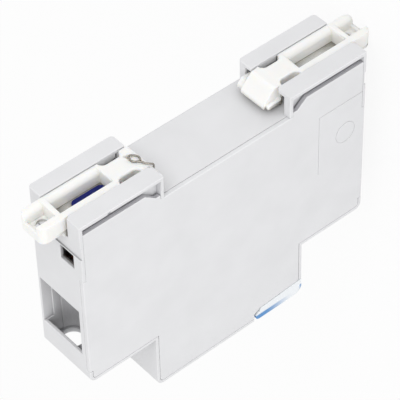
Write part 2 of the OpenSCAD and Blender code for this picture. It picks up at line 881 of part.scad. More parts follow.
module toggle_lever() {
    ring_t = 1.5;
    ring_a = 78;
    body_a = 44;
    hub_r = 2.0;
    arm_half = 1.2;
    crank_pin_half = 2.9;
    tip_round = 1.2;
    color(black_plastic)
        translate([0, toggle_axis[0], toggle_axis[1]])
            rotate([toggle_off, 0, 0])
                difference() {
                    union() {
                        side_extrude([-drum_half, drum_half]) {
                            difference() {
                                intersection() {
                                    circle(drum_r);
                                    wedge(ring_a, drum_r * 2);
                                }
                                circle(drum_r - ring_t);
                            }
                            intersection() {
                                circle(drum_r - ring_t / 2);
                                wedge(body_a, drum_r * 2);
                            }
                            circle(hub_r);
                            front_rounded([-handle_r, -handle_t / 2], [-drum_r + 1, handle_t / 2],
                                tip_round);
                        }
                        side_extrude([-arm_half, arm_half])
                            rect([0, -1], [crank_r, 1]);
                        bar_x_round([-crank_pin_half, crank_pin_half], [crank_r, 0], crank_pin_r);
                    }
                    bar_x_round([-drum_half - 1, drum_half + 1], [0, 0], axle_r + running);
                }
}

module toggle_pin() {
    color(steel)
        bar_x_round([far_in + 0.2, half_w - 0.9], toggle_axis, axle_r);
}

module toggle_spring() {
    coil_r = 1.6;
    coil_wire = 0.2;
    from = drum_half + seam + coil_wire;
    length = cover_boss - coil_wire - from;
    path = helix(coil_r, length, 3);
    echo(str("toggle_spring least gap ", least_gap(path, coil_wire, rings_per_turn)));
    color(steel)
        translate([from, toggle_axis[0], toggle_axis[1]])
            rotate([0, 90, 0])
                wire(path, coil_wire, [0, 0, 1]);
}

// Places its children in the carrier's tilted frame
module on_carrier() {
    translate([0, carrier_axis[0], carrier_axis[1]])
        rotate([-carrier_off, 0, 0])
            children();
}

module contact_carrier() {
    hub_r = 2.6;
    arm_half = 3.0;
    arm_t = 1.5;
    slot_half = crank_pin_r + crank_play;
    slot_y = [-pin_far - slot_half, -pin_near + slot_half];
    head_y = [slot_y[0] - 0.75, slot_y[1] + 1.1];
    head_t = slot_half + 1.1;
    fork_half = 1.6;
    holder_y = [1.5, 7];
    holder_half = 4.9;
    holder_t = 1.6;
    color([0.20, 0.21, 0.23])
        on_carrier()
            difference() {
                union() {
                    bar_x_round([-arm_half, arm_half], [0, 0], hub_r);
                    block([-arm_half, arm_half], [head_y[0] + 1, 0], [-arm_t, arm_t]);
                    block([-arm_half, arm_half], head_y, [-head_t, head_t]);
                    block([-holder_half, holder_half], holder_y, [-holder_t, holder_t]);
                }
                block([-fork_half, fork_half], [head_y[0] - 1, head_y[1] + 1.2], [-head_t - 1, head_t + 1]);
                block([-arm_half - 1, arm_half + 1], slot_y, [-slot_half, slot_half]);
                bar_x_round([-arm_half - 1, arm_half + 1], [0, 0], axle_r + running);
                for (s = [0, 1])
                    mirror([s, 0, 0])
                        block(blade_x, [blade_y[0], holder_y[1] + 1], [-blade_half_t, blade_half_t]);
            }
}

module carrier_pin() {
    color(steel)
        bar_x_round([far_in + 0.2, half_w - 0.9], carrier_axis, axle_r);
}

// Two ring lugs on the carrier's pin that take the conductors' ends
module pivot_lugs() {
    ring_r = 2.2;
    tail_half = 1.1;
    color(copper)
        for (s = [0, 1])
            mirror([s, 0, 0])
                difference() {
                    union() {
                        bar_x_round(lug_span, carrier_axis, ring_r);
                        block(lug_span, [carrier_axis[0] - tail_half, carrier_axis[0] + tail_half],
                            [lug_tail, carrier_axis[1]]);
                    }
                    bar_x_round([lug_span[0] - 1, lug_span[1] + 1], carrier_axis, axle_r);
                }
}

module blade() {
    color(copper)
        on_carrier()
            block(blade_x, blade_y, [-blade_half_t, blade_half_t]);
}

module line_blade() {
    blade();
}

module neutral_blade() {
    mirror([1, 0, 0])
        blade();
}

module moving_contact_tips() {
    mid = (blade_x[0] + blade_x[1]) / 2;
    color(silver)
        on_carrier()
            for (s = [-1, 1])
                translate([s * mid, tip_y, blade_half_t])
                    cylinder(r = tip_r, h = tip_t);
}

module fixed_contact_tips() {
    mid = (bar_x[0] + bar_x[1]) / 2;
    color(silver)
        for (s = [-1, 1])
            translate([s * mid, fixed_tip_y, fixed_tip_z[0]])
                cylinder(r = tip_r, h = fixed_tip_z[1] - fixed_tip_z[0]);
}

// Contact foot and upright that both fixed contacts share, up to a given height
module contact_upright(top) {
    rect([fixed_tip_y - tip_r - 0.6, fixed_tip_z[1]], [bar_y[1], fixed_tip_z[1] + bar_t]);
    rect([bar_y[0], fixed_tip_z[1]], [bar_y[1], top]);
}

module line_fixed_contact() {
    fork_base = end_in - 10.2;
    fork_end = end_in - 0.5;
    color(copper)
        side_extrude(bar_x) {
            contact_upright(fork_base + bar_t);
            rect([bar_y[0], fork_base], [bus_y[1] + 0.9, fork_base + bar_t]);
            rect([bus_y[0] - 0.9, fork_base], [bus_y[0] - 0.1, fork_end]);
            rect([bus_y[1] + 0.1, fork_base], [bus_y[1] + 0.9, fork_end]);
        }
}

module neutral_fixed_contact() {
    run_z = pocket_back - 5.9;
    stab_end = end_in - 1.4;
    color(copper)
        mirror([1, 0, 0])
            side_extrude(bar_x) {
                contact_upright(run_z + bar_t);
                rect([stab_y[0], run_z], [bar_y[1], run_z + bar_t]);
                rect([stab_y[0], run_z], [stab_y[1], stab_end]);
            }
}

module arc_plates() {
    plate_t = 0.9;
    pitch = 1.7;
    first = 0.6;
    plate_y = [carrier_axis[0] + blade_y[1] + 0.6, -wall - 2];
    color(steel)
        for (i = [0 : 3])
            block([far_in, cover_in], plate_y, [first + i * pitch, first + i * pitch + plate_t]);
}

// Residual current transformer

module toroid_core() {
    color([0.30, 0.31, 0.33])
        translate([toroid_at[0], toroid_at[1], core_z[0]])
            rotate_extrude()
                rect([core_r[0], 0], [core_r[1], core_z[1] - core_z[0]]);
}

// Points of one turn round the core's section, as radius and height
function turn_section() =
    let (
        d = wire_r + wire_gap,
        r0 = core_r[0] - d,
        r1 = core_r[1] + d,
        z0 = core_z[0] - d,
        z1 = core_z[1] + d
    )
    [
        [r1, z0], [r1, (z0 + z1) / 2], [r1, z1], [(r0 + r1) / 2, z1],
        [r0, z1], [r0, (z0 + z1) / 2], [r0, z0], [(r0 + r1) / 2, z0]
    ];

module toroid_winding() {
    section = turn_section();
    steps = len(section);
    used_turns = toroid_turns - 1;
    path = [
        for (i = [0 : used_turns * steps])
            let (a = 360 * i / (toroid_turns * steps), p = section[i % steps])
            [toroid_at[0] + p[0] * cos(a), toroid_at[1] + p[0] * sin(a), p[1]]
    ];
    echo(str("toroid_winding least gap ", least_gap(path, wire_r, steps)));
    color(copper)
        wire_round_core(path, steps);
}

// The winding's wire: each ring is set across the direction round the core
module wire_round_core(path, steps) {
    sides = 6;
    last = len(path) - 1;
    function around(p) = unit([-(p[1] - toroid_at[1]), p[0] - toroid_at[0], 0]);
    points = [
        for (i = [0 : last]) each ring(path[i], heading(path, i), around(path[i]), wire_r, sides)
    ];
    walls = [
        for (i = [0 : last - 1])
            for (k = [0 : sides - 1])
                let (next = (k + 1) % sides)
                [i * sides + k, (i + 1) * sides + k, (i + 1) * sides + next, i * sides + next]
    ];
    start = [for (k = [0 : sides - 1]) k];
    finish = [for (k = [sides - 1 : -1 : 0]) last * sides + k];
    polyhedron(points, concat(walls, [start, finish]));
}

// Insulated conductor from a terminal strap through the core to a lug on the carrier's pin
function conductor_points(s) =
    let (
        in_core = toroid_at[0] + s * conductor_offset,
        strap_mid = (strap_y[0] + strap_y[1]) / 2
    )
    [
        [s * pole_x, strap_mid, strap_end],
        [s * pole_x, strap_mid, strap_end + 0.6],
        [s * pole_x, strap_mid, strap_end + 1.2],
        [s * 3.4, -31.4, strap_end + 2.4],
        [s * 2.2, -22, strap_end + 2.6],
        [in_core, -15.4, toroid_shelf - 5.5],
        [in_core, -12.8, toroid_shelf - 3],
        [in_core, toroid_at[1], -21],
        [in_core, toroid_at[1], -14.5],
        [s * 2.4, -13.5, -10.4],
        [s * 5.2, -18, -5.8],
        [s * lug_mid, -23.6, -3],
        [s * lug_mid, carrier_axis[0], lug_tail - 1.5],
        [s * lug_mid, carrier_axis[0], lug_tail - 0.7],
        [s * lug_mid, carrier_axis[0], lug_tail]
    ];

module conductor(s) {
    wire(route(conductor_points(s), 3), conductor_r, [1, 0.02, 0.01], 8);
}

module line_conductor() {
    color([0.45, 0.27, 0.18])
        conductor(1);
}

module neutral_conductor() {
    color([0.25, 0.42, 0.70])
        conductor(-1);
}

// Terminals

module terminal_strap(s) {
    color(copper)
        block([s * pole_x - strap_half, s * pole_x + strap_half], strap_y, [cage_z[0] + 0.8, strap_end]);
}

module terminal_cage(s) {
    color(brass)
        difference() {
            block([s * pole_x - cage_half, s * pole_x + cage_half], cage_y, cage_z);
            block([s * pole_x - cage_open_half, s * pole_x + cage_open_half],
                [cage_y[0] + cage_nut_t, cage_y[1] - cage_floor_t], [cage_z[0] - 1, cage_z[1] + 1]);
            bar_y_round([cage_y[0] - 1, cage_y[0] + cage_nut_t + 1], [s * pole_x, -driver_z],
                screw_d / 2 + running);
        }
}

module terminal_screw(s) {
    slot_w = 0.9;
    slot_depth = 1.0;
    head_y = [front_in, front_in + head_t];
    color(steel)
        difference() {
            union() {
                bar_y_round(head_y, [s * pole_x, -driver_z], head_r);
                bar_y_round([head_y[1], strap_y[0] - 0.3], [s * pole_x, -driver_z], screw_d / 2);
            }
            block([s * pole_x - head_r, s * pole_x + head_r], [head_y[0] - 1, head_y[0] + slot_depth],
                [-driver_z - slot_w / 2, -driver_z + slot_w / 2]);
            block([s * pole_x - slot_w / 2, s * pole_x + slot_w / 2],
                [head_y[0] - 1, head_y[0] + slot_depth], [-driver_z - 1.6, -driver_z + 1.6]);
        }
}

module left_terminal_strap() {
    terminal_strap(-1);
}

module left_terminal_cage() {
    terminal_cage(-1);
}

module left_terminal_screw() {
    terminal_screw(-1);
}

module right_terminal_strap() {
    terminal_strap(1);
}

module right_terminal_cage() {
    terminal_cage(1);
}

module right_terminal_screw() {
    terminal_screw(1);
}

// Test circuit

module test_button() {
    front = -nose_depth - button_proud;
    color([0.93, 0.78, 0.20])
        union() {
            plan_extrude([front, nose_in + 1])
                round_rect([-button_half, button_z[0]], [button_half, button_z[1]], 0.6);
            block([-button_half - button_flange_over, button_half + button_flange_over],
                [nose_in, nose_in + button_flange_t],
                [button_z[0] - button_flange_over, button_z[1] + button_flange_over]);
            bar_y_round([nose_in, stem_end], [0, button_mid], stem_r);
        }
}

module test_button_spring() {
    coil_r = 1.6;
    coil_wire = 0.22;
    from = nose_in + button_flange_t + coil_wire;
    length = button_shelf_y[0] - coil_wire - from;
    path = helix(coil_r, length, 4);
    echo(str("test_button_spring least gap ", least_gap(path, coil_wire, rings_per_turn)));
    color(steel)
        translate([0, from, button_mid])
            rotate([-90, 0, 0])
                wire(path, coil_wire, [0, 0, 1]);
}

module test_contact_leaf() {
    color(brass)
        block([-2, 2], test_leaf_y, [above_drum, nose_end_in]);
}

module circuit_board() {
    color([0.13, 0.38, 0.22])
        difference() {
            block(board_x, board_y, board_z);
            for (y = peg_y)
                for (z = peg_z)
                    bar_x_round([board_x[0] - 1, board_x[1] + 1], [y, z], peg_r + seam);
        }
}

module board_capacitor() {
    at = [board_y[1] - 4.1, board_z[0] + 5.5];
    color([0.15, 0.20, 0.42])
        bar_x_round([board_x[1], board_x[1] + 7], at, 2.4);
}

module board_chip() {
    color(black_plastic)
        block([board_x[1], board_x[1] + 1.5], [board_y[0] + 6.3, board_y[0] + 11.3],
            [board_z[0] + 1.2, board_z[0] + 4.7]);
}

module test_resistor() {
    body_r = 1.1;
    at = [board_x[1] + body_r + 0.5, board_y[0] + 3.1];
    lead_z = [board_z[0] + 1, board_z[0] + 5];
    color([0.78, 0.68, 0.50])
        union() {
            translate([at[0], at[1], lead_z[0]])
                cylinder(r = body_r, h = lead_z[1] - lead_z[0]);
            for (z = [lead_z[0] + 0.6, lead_z[1] - 0.6])
                block([board_x[1], at[0]], [at[1] - 0.3, at[1] + 0.3], [z - 0.3, z + 0.3]);
        }
}

module varistor() {
    disc_r = 3.0;
    disc_y = [board_y[1] - 4.7, board_y[1] - 2.9];
    lead_y = [board_y[1] - 4.1, board_y[1] - 3.5];
    at = [board_x[1] + disc_r + 0.6, board_z[1] - 5.5];
    color([0.20, 0.36, 0.62])
        union() {
            bar_y_round(disc_y, at, disc_r);
            for (z = [at[1] - 1.6, at[1] + 1.6])
                block([board_x[1], at[0]], lead_y, [z - 0.3, z + 0.3]);
        }
}

// Trip relay

module trip_relay_housing() {
    ear_r = 1.3;
    color(black_plastic)
        difference() {
            union() {
                block(relay_x, relay_y, relay_z);
                for (x = [-lever_half - ear_gap - ear_t, lever_half + ear_gap])
                    side_extrude([relay_mid[0] + x, relay_mid[0] + x + ear_t]) {
                        translate(lever_axis)
                            circle(ear_r);
                        rect([relay_y[1] - 1.2, relay_z[1] - 1], [relay_y[1], lever_axis[1]]);
                    }
            }
            block([relay_x[0] + relay_wall, relay_x[1] - relay_wall],
                [relay_y[0] + relay_wall, relay_y[1] - relay_wall],
                [relay_z[0] - 1, relay_z[1] - relay_wall]);
            translate([relay_mid[0], relay_mid[1], relay_z[1] - relay_wall - 1])
                cylinder(r = plunger_r + running, h = relay_wall + 2);
            bar_x_round(relay_x, lever_axis, lever_pin_r);
        }
}

module trip_relay_coil() {
    bore_r = plunger_r + 0.15;
    coil_z = [relay_z[0] + 0.8, relay_z[1] - relay_wall];
    flange_r = 3.6;
    winding_r = 3.3;
    flange_t = 0.7;
    height = coil_z[1] - coil_z[0];
    color(copper)
        translate([relay_mid[0], relay_mid[1], coil_z[0]])
            rotate_extrude() {
                rect([bore_r, 0], [flange_r, flange_t]);
                rect([bore_r, 0], [winding_r, height]);
                rect([bore_r, height - flange_t], [flange_r, height]);
            }
}

module trip_plunger() {
    foot = relay_z[0] + 1.4;
    shoulder_z = plunger_top - plunger_tip[1];
    color(steel)
        translate([relay_mid[0], relay_mid[1], 0]) {
            translate([0, 0, foot])
                cylinder(r = plunger_r, h = shoulder_z - foot);
            translate([0, 0, shoulder_z])
                cylinder(r = plunger_tip[0], h = plunger_tip[1]);
        }
}

module trip_lever() {
    arm_end = relay_y[0] + 0.6;
    color([0.85, 0.84, 0.80])
        difference() {
            side_extrude([relay_mid[0] - lever_half, relay_mid[0] + lever_half]) {
                translate(lever_axis)
                    circle(1.2);
                rect([arm_end, lever_z[0]], [lever_axis[0], lever_z[1]]);
            }
            bar_x_round(relay_x, lever_axis, lever_pin_r + running);
        }
}

module trip_lever_pin() {
    reach = lever_half + ear_t + ear_gap;
    color(steel)
        bar_x_round([relay_mid[0] - reach, relay_mid[0] + reach], lever_axis, lever_pin_r);
}

case_shell();
side_cover();
label_flap();
label_flap_pin();
label_card();
upper_rail_clip();
upper_clip_wire();
upper_clip_leaf();
lower_rail_clip();
lower_clip_spring();
lower_clip_leaf();
toggle_lever();
toggle_pin();
toggle_spring();
test_button();
test_button_spring();
test_contact_leaf();
contact_carrier();
carrier_pin();
pivot_lugs();
line_blade();
neutral_blade();
moving_contact_tips();
line_fixed_contact();
neutral_fixed_contact();
fixed_contact_tips();
arc_plates();
toroid_core();
toroid_winding();
line_conductor();
neutral_conductor();
left_terminal_strap();
left_terminal_cage();
left_terminal_screw();
right_terminal_strap();
right_terminal_cage();
right_terminal_screw();
circuit_board();
board_capacitor();
board_chip();
test_resistor();
varistor();
trip_relay_housing();
trip_relay_coil();
trip_plunger();
trip_lever();
trip_lever_pin();
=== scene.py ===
"""Looks of a one-module residual current device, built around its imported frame.

Each sub-assembly is a class that makes its pieces from the frame's nodes and dresses them with a
procedural finish. Sizes are written in millimetres and turned into metres when a mesh is made.
The frame has +Z up along the device, X along the mounting rail, and the nose towards -Y.
"""

from __future__ import annotations

import logging
import math
from dataclasses import dataclass, field
from enum import Enum
from functools import partial
from typing import Callable, Iterable, Sequence

import bmesh
import bpy
from mathutils import Matrix, Vector
from mathutils.geometry import delaunay_2d_cdt

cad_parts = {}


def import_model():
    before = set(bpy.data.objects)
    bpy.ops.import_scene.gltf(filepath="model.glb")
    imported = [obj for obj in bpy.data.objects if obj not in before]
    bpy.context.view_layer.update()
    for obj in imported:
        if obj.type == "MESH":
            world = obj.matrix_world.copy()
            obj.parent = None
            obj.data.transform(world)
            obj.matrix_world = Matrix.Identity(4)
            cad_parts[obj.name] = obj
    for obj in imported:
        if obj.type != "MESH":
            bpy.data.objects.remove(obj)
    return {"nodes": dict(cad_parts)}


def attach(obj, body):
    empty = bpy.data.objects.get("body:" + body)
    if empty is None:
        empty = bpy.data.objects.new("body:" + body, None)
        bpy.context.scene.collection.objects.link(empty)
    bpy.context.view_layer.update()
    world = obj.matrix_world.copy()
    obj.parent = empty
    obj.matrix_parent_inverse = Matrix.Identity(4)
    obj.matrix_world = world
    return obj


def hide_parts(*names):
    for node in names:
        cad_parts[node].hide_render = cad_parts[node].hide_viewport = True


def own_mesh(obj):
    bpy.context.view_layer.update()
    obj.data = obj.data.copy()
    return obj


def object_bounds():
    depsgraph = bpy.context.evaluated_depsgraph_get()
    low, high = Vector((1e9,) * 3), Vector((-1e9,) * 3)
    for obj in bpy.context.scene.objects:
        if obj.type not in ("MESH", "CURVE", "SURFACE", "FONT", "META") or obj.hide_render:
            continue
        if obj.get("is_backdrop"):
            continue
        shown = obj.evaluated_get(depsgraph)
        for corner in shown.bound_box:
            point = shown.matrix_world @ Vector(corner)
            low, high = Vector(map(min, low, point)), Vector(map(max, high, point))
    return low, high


LOG = logging.getLogger("residual_current_device")

MM = 0.001
MERGE_GAP = 0.002 * MM
FLAT_ANGLE = math.radians(0.8)
SHARP_ANGLE = math.radians(28.0)
CHAIN_TURN = math.radians(50.0)
LEAST_SINE = 0.35
FILL_GAP = 1e-6
EDGE_ATTRIBUTE = "moulded_edge"
BLACK = (0.0, 0.0, 0.0, 1.0)
WHITE = (1.0, 1.0, 1.0, 1.0)

Pair = tuple[float, float]
Point = tuple[float, float, float]
Colour = tuple[float, float, float]
Linear = tuple[float, float, float, float]
Socket = bpy.types.NodeSocket
Mesh = bpy.types.Mesh
Piece = bpy.types.Object
SocketValue = float | int | bool | Sequence[float] | bpy.types.Material
Placing = Callable[[float, float, float], Vector]


class Body(str, Enum):
    """Bodies of the frame that pieces ride on."""

    CASE = "case"
    UPPER_CLIP = "upper_clip"
    LOWER_CLIP = "lower_clip"
    TOGGLE = "toggle"
    CARRIER = "carrier"
    BUTTON = "button"
    FLAP = "flap"
    LEFT_SCREW = "left_screw"
    RIGHT_SCREW = "right_screw"
    LEFT_CAGE = "left_cage"
    RIGHT_CAGE = "right_cage"
    PLUNGER = "plunger"
    TRIP_LEVER = "trip_lever"


class Edge(Enum):
    """Radius of a piece's outer edges in millimetres, and the number of steps round it."""

    PUNCHED = (0.06, 2)
    CRISP = (0.12, 2)
    MOULDED = (0.2, 3)
    SOFT = (0.5, 4)

    @property
    def radius(self) -> float:
        """Radius of the edge in millimetres."""
        return self.value[0]

    @property
    def steps(self) -> int:
        """Number of steps round the edge."""
        return self.value[1]


class Axis(Enum):
    """Direction that a drawn or brushed metal's lines run in, as a stretch of the pattern."""

    X = (0.04, 1.0, 1.0)
    Y = (1.0, 0.04, 1.0)
    Z = (1.0, 1.0, 0.04)


class Facing(Enum):
    """Turn from +Z to a coil's axis, in degrees about X, Y and Z."""

    UP = (0.0, 0.0, 0.0)
    RIGHT = (0.0, 90.0, 0.0)
    REAR = (-90.0, 0.0, 0.0)


def linear(colour: Colour) -> Linear:
    """Turn a display colour into the linear one that a shader takes, by the sRGB curve.

    Args:
        colour: Red, green and blue as they show on a screen, from 0 to 1.

    Returns:
        The linear colour, with an alpha of 1.
    """

    def channel(value: float) -> float:
        """Linear value of one channel."""
        return value / 12.92 if value <= 0.04045 else ((value + 0.055) / 1.055) ** 2.4

    return channel(colour[0]), channel(colour[1]), channel(colour[2]), 1.0


def scaled(colour: Linear, factor: float) -> Linear:
    """A linear colour times a factor, with no channel past white."""
    return (*(min(1.0, channel * factor) for channel in colour[:3]), 1.0)


def whitened(colour: Linear, share: float) -> Linear:
    """A linear colour taken a share of the way to white."""
    return (*(channel + (1.0 - channel) * share for channel in colour[:3]), 1.0)


def metres(point: Sequence[float]) -> Vector:
    """Turn a point in millimetres into a vector in metres."""
    return Vector(point) * MM


class NodeTree:
    """A node tree under construction, with short ways to add nodes and join them."""

    def __init__(self, tree: bpy.types.NodeTree) -> None:
        """Work on one of Blender's trees."""
        self.nodes = tree.nodes
        self.links = tree.links

    def feed(self, target: Socket, source: object) -> None:
        """Join a socket to another one, or set its value.

        Args:
            target: The input socket.
            source: An output socket, or a plain value.
        """
        if isinstance(source, Socket):
            self.links.new(source, target)
        else:
            target.default_value = source

    def add(self, kind: str, inputs: dict[str | int, object] | None = None,
            **settings: object) -> bpy.types.Node:
        """Add a node.

        Args:
            kind: The node's type.
            inputs: Sockets or values for its inputs, by name or number.
            settings: Properties of the node, by name.

        Returns:
            The new node.
        """
        node = self.nodes.new(kind)
        for key, value in settings.items():
            setattr(node, key, value)
        for key, value in (inputs or {}).items():
            self.feed(node.inputs[key], value)
        return node

    def math(self, operation: str, *values: object) -> Socket:
        """Work out a number from sockets or numbers, with a math node's operation."""
        return self.add("ShaderNodeMath", dict(enumerate(values)), operation=operation).outputs[0]


class ShaderTree(NodeTree):
    """A material's node tree, with the patterns and masks that finishes are made of."""

    shade_samples = 8

    def __init__(self, name: str) -> None:
        """Start a material with a principled shader.

        Args:
            name: Name of the material.
        """
        self.material = bpy.data.materials.new(name)
        self.material.use_nodes = True
        super().__init__(self.material.node_tree)
        self.shader = self.nodes["Principled BSDF"]
        self.place = self.add("ShaderNodeTexCoord").outputs["Object"]

    def along(self, axis: str) -> Socket:
        """The object coordinate along an axis, named by its letter."""
        return self.add("ShaderNodeSeparateXYZ", {0: self.place}).outputs[axis]

    def stretched(self, scale: Sequence[float]) -> Socket:
        """Object coordinates stretched by a factor along each axis."""
        return self.add("ShaderNodeMapping", {"Vector": self.place, "Scale": scale}).outputs["Vector"]

    def noise(self, size: float, detail: float = 3.0, place: Socket | None = None) -> Socket:
        """Add a soft random pattern.

        Args:
            size: Size of the pattern's spots, in millimetres.
            detail: How many finer patterns lie over it.
            place: Coordinates that it follows, or none for the object's own.

        Returns:
            The pattern's value, about 0.5 on average.
        """
        node = self.add("ShaderNodeTexNoise", {
            "Vector": place or self.place, "Scale": 1.0 / (size * MM), "Detail": detail})
        return node.outputs["Fac"]

    def spread(self, value: Socket, low: float, high: float, start: float = 0.3, end: float = 0.7) -> Socket:
        """Map a pattern's middle part onto a range.

        Args:
            value: The pattern.
            low: Result at the range's start.
            high: Result at the range's end.
            start: Pattern value that gives low.
            end: Pattern value that gives high.

        Returns:
            The mapped value.
        """
        node = self.add("ShaderNodeMapRange", {
            "Value": value, "From Min": start, "From Max": end, "To Min": low, "To Max": high})
        return node.outputs["Result"]

    def ramp(self, value: Socket, ends: Pair) -> Socket:
        """Smooth step of a coordinate.

        Args:
            value: The coordinate.
            ends: Where the step starts and where it is full, in millimetres.

        Returns:
            A value from 0 to 1.
        """
        node = self.add("ShaderNodeMapRange", {
            "Value": value, "From Min": ends[0] * MM, "From Max": ends[1] * MM},
            interpolation_type="SMOOTHSTEP")
        return node.outputs["Result"]

    def blend(self, share: object, first: object, second: object) -> Socket:
        """Mix two colours.

        Args:
            share: Share of the second colour.
            first: First colour, a socket or a value.
            second: Second colour, a socket or a value.

        Returns:
            The mixed colour.
        """
        node = self.add("ShaderNodeMix", {"Factor": share}, data_type="RGBA")
        colours = [socket for socket in node.inputs if socket.type == "RGBA"]
        self.feed(colours[0], first)
        self.feed(colours[1], second)
        return next(socket for socket in node.outputs if socket.type == "RGBA")

    def shade(self, reach: float) -> Socket:
        """How open the surface is to its surroundings, which the mouldings turn into painted shade.

        Args:
            reach: Distance in millimetres within which other surfaces close it in.

        Returns:
            A value of 1 in the open and less in corners and gaps.
        """
        node = self.add("ShaderNodeAmbientOcclusion", {"Distance": reach * MM}, samples=self.shade_samples)
        return node.outputs["AO"]

    def edges(self) -> Socket:
        """The mask of rounded edges that a dressed piece carries."""
        return self.add("ShaderNodeAttribute", attribute_name=EDGE_ATTRIBUTE).outputs["Fac"]

    def relief(self, height: Socket, depth: float, under: Socket | None = None) -> Socket:
        """Turn a pattern into fine relief.

        Args:
            height: The pattern.
            depth: Depth of the relief in millimetres.
            under: Normal of a relief that this one lies on.

        Returns:
            The surface normal with the relief.
        """
        node = self.add("ShaderNodeBump", {"Strength": 1.0, "Distance": depth * MM, "Height": height})
        if under is not None:
            self.feed(node.inputs["Normal"], under)
        return node.outputs["Normal"]

    def finished(self, inputs: dict[str, object]) -> bpy.types.Material:
        """Set inputs of the principled shader and give the material.

        Args:
            inputs: Sockets or values, by the inputs' names.

        Returns:
            The material.
        """
        for name, source in inputs.items():
            self.feed(self.shader.inputs[name], source)
        return self.material


@dataclass(frozen=True)
class Finish:
    """A procedural finish that belongs to one of the record's material slots."""

    name: str
    slot: str
    colour: Colour

    def material(self) -> bpy.types.Material:
        """The finish's material, made when it is first asked for."""
        return bpy.data.materials.get(self.name) or self.make()

    def make(self) -> bpy.types.Material:
        """Build the material's nodes."""
        raise NotImplementedError


@dataclass(frozen=True)
class Moulding(Finish):
    """Injection-moulded plastic: fine spark grain, faint flow marks, painted highlights on rounded edges,
    painted shade in hollows.
    """

    roughness: float = 0.5
    uneven: Pair = (-0.06, 0.08)
    detail: float = 2.0
    grain: float = 0.18
    grain_depth: float = 0.004
    flow: float = 9.0
    waviness: float = 2.5
    mottle: float = 0.02
    # Painted shade in corners, narrow gaps and wide hollows: for each, its colour, share, reach and the
    # openness over which it fades in.
    corner: Colour = (0.62, 0.62, 0.64)
    corner_share: float = 0.5
    corner_reach: float = 1.2
    corner_open: Pair = (0.15, 0.85)
    gap_shade: Colour = (0.42, 0.42, 0.44)
    gap_share: float = 0.0
    gap_reach: float = 0.35
    gap_open: Pair = (0.1, 0.6)
    hollow_shade: Colour = (0.5, 0.5, 0.52)
    hollow_share: float = 0.0
    hollow_reach: float = 5.0
    hollow_open: Pair = (0.3, 0.8)
    # Painted highlight on the rounded edges: its share, and how far its colour goes towards white.
    edge_highlight: float = 0.25
    edge_highlight_white: float = 0.55
    scatter: float = 0.0
    scatter_reach: float = 0.8
    scatter_spread: Colour = (1.0, 0.85, 0.7)
    ior: float = 1.5

    def hollows(self, tree: ShaderTree) -> Socket | float:
        """Share of the painted shade in wide hollows, by place: here the same everywhere."""
        return 1.0

    def shaded(self, tree: ShaderTree, colour: Socket) -> Socket:
        """Paint shade into a colour in wide hollows, in corners and in narrow gaps.

        Args:
            tree: The material's tree.
            colour: The colour in the open.

        Returns:
            The colour with its painted shade.
        """
        places = (
            (self.hollow_shade, self.hollow_share, self.hollow_reach, self.hollow_open, self.hollows(tree)),
            (self.corner, self.corner_share, self.corner_reach, self.corner_open, 1.0),
            (self.gap_shade, self.gap_share, self.gap_reach, self.gap_open, 1.0),
        )
        # Each place's colour is painted shade, blended in as far as the surface is closed in there.
        for tint, share, reach, (shut, clear), here in places:
            if share > 0.0:
                closed = tree.spread(tree.shade(reach), share, 0.0, shut, clear)
                colour = tree.blend(tree.math("MULTIPLY", closed, here), colour, linear(tint))
        return colour

    def make(self) -> bpy.types.Material:
        """Build the moulded plastic.

        Returns:
            The material.
        """
        tree = ShaderTree(self.name)
        base = linear(self.colour)
        flow = tree.noise(self.flow, self.detail)
        fine = tree.noise(self.grain, self.detail)
        mottled = tree.blend(tree.spread(flow, 0.0, 1.0), scaled(base, 1.0 - self.mottle),
                             scaled(base, 1.0 + self.mottle))
        # Painted highlight: the rounded edges are painted lighter, towards white.
        painted_edge_highlight = tree.spread(tree.edges(), 0.0, self.edge_highlight, 0.0, 1.0)
        smooth, rough = (self.roughness + change for change in self.uneven)
        wave = tree.relief(flow, self.grain_depth * self.waviness)
        return tree.finished({
            # The base colour carries painted highlights on its edges and painted shade in hollows, corners
            # and gaps.
            "Base Color": self.shaded(tree, tree.blend(painted_edge_highlight, mottled, whitened(base, self.edge_highlight_white))),
            "Roughness": tree.spread(fine, smooth, rough),
            "Normal": tree.relief(fine, self.grain_depth, wave),
            "IOR": self.ior,
            "Subsurface Weight": self.scatter,
            "Subsurface Radius": self.scatter_spread,
            "Subsurface Scale": self.scatter_reach * MM,
        })


@dataclass(frozen=True)
class CaseMoulding(Moulding):
    """Plastic of the case, whose openings get painted shade below the clips' channels."""

    channel_floor: Pair = (0.0, -1.5)

    def hollows(self, tree: ShaderTree) -> Socket | float:
        """No painted shade in the channels, full painted shade below them."""
        return tree.ramp(tree.along("Y"), self.channel_floor)


@dataclass(frozen=True)
class CoverMoulding(Moulding):
    """Plastic of the side cover, whose upper edge gets painted shade where it lies under the ribs above it.
    """

    under_rib: Pair = (8.66, 8.5)
    edge_height: Pair = (0.4, 0.9)

    def hollows(self, tree: ShaderTree) -> Socket | float:
        """Painted shade on all of the upper edge, none on the outer face."""
        under = tree.ramp(tree.along("X"), self.under_rib)
        return tree.math("MULTIPLY", under, tree.ramp(tree.along("Y"), self.edge_height))


@dataclass(frozen=True)
class ClipMoulding(Moulding):
    """Plastic of the clips, whose painted shade in wide hollows lies only low in the slots."""

    slot_depth: Pair = (2.4, 2.1)

    def hollows(self, tree: ShaderTree) -> Socket | float:
        """Painted shade growing towards the slots' floors."""
        return tree.ramp(tree.along("Y"), self.slot_depth)


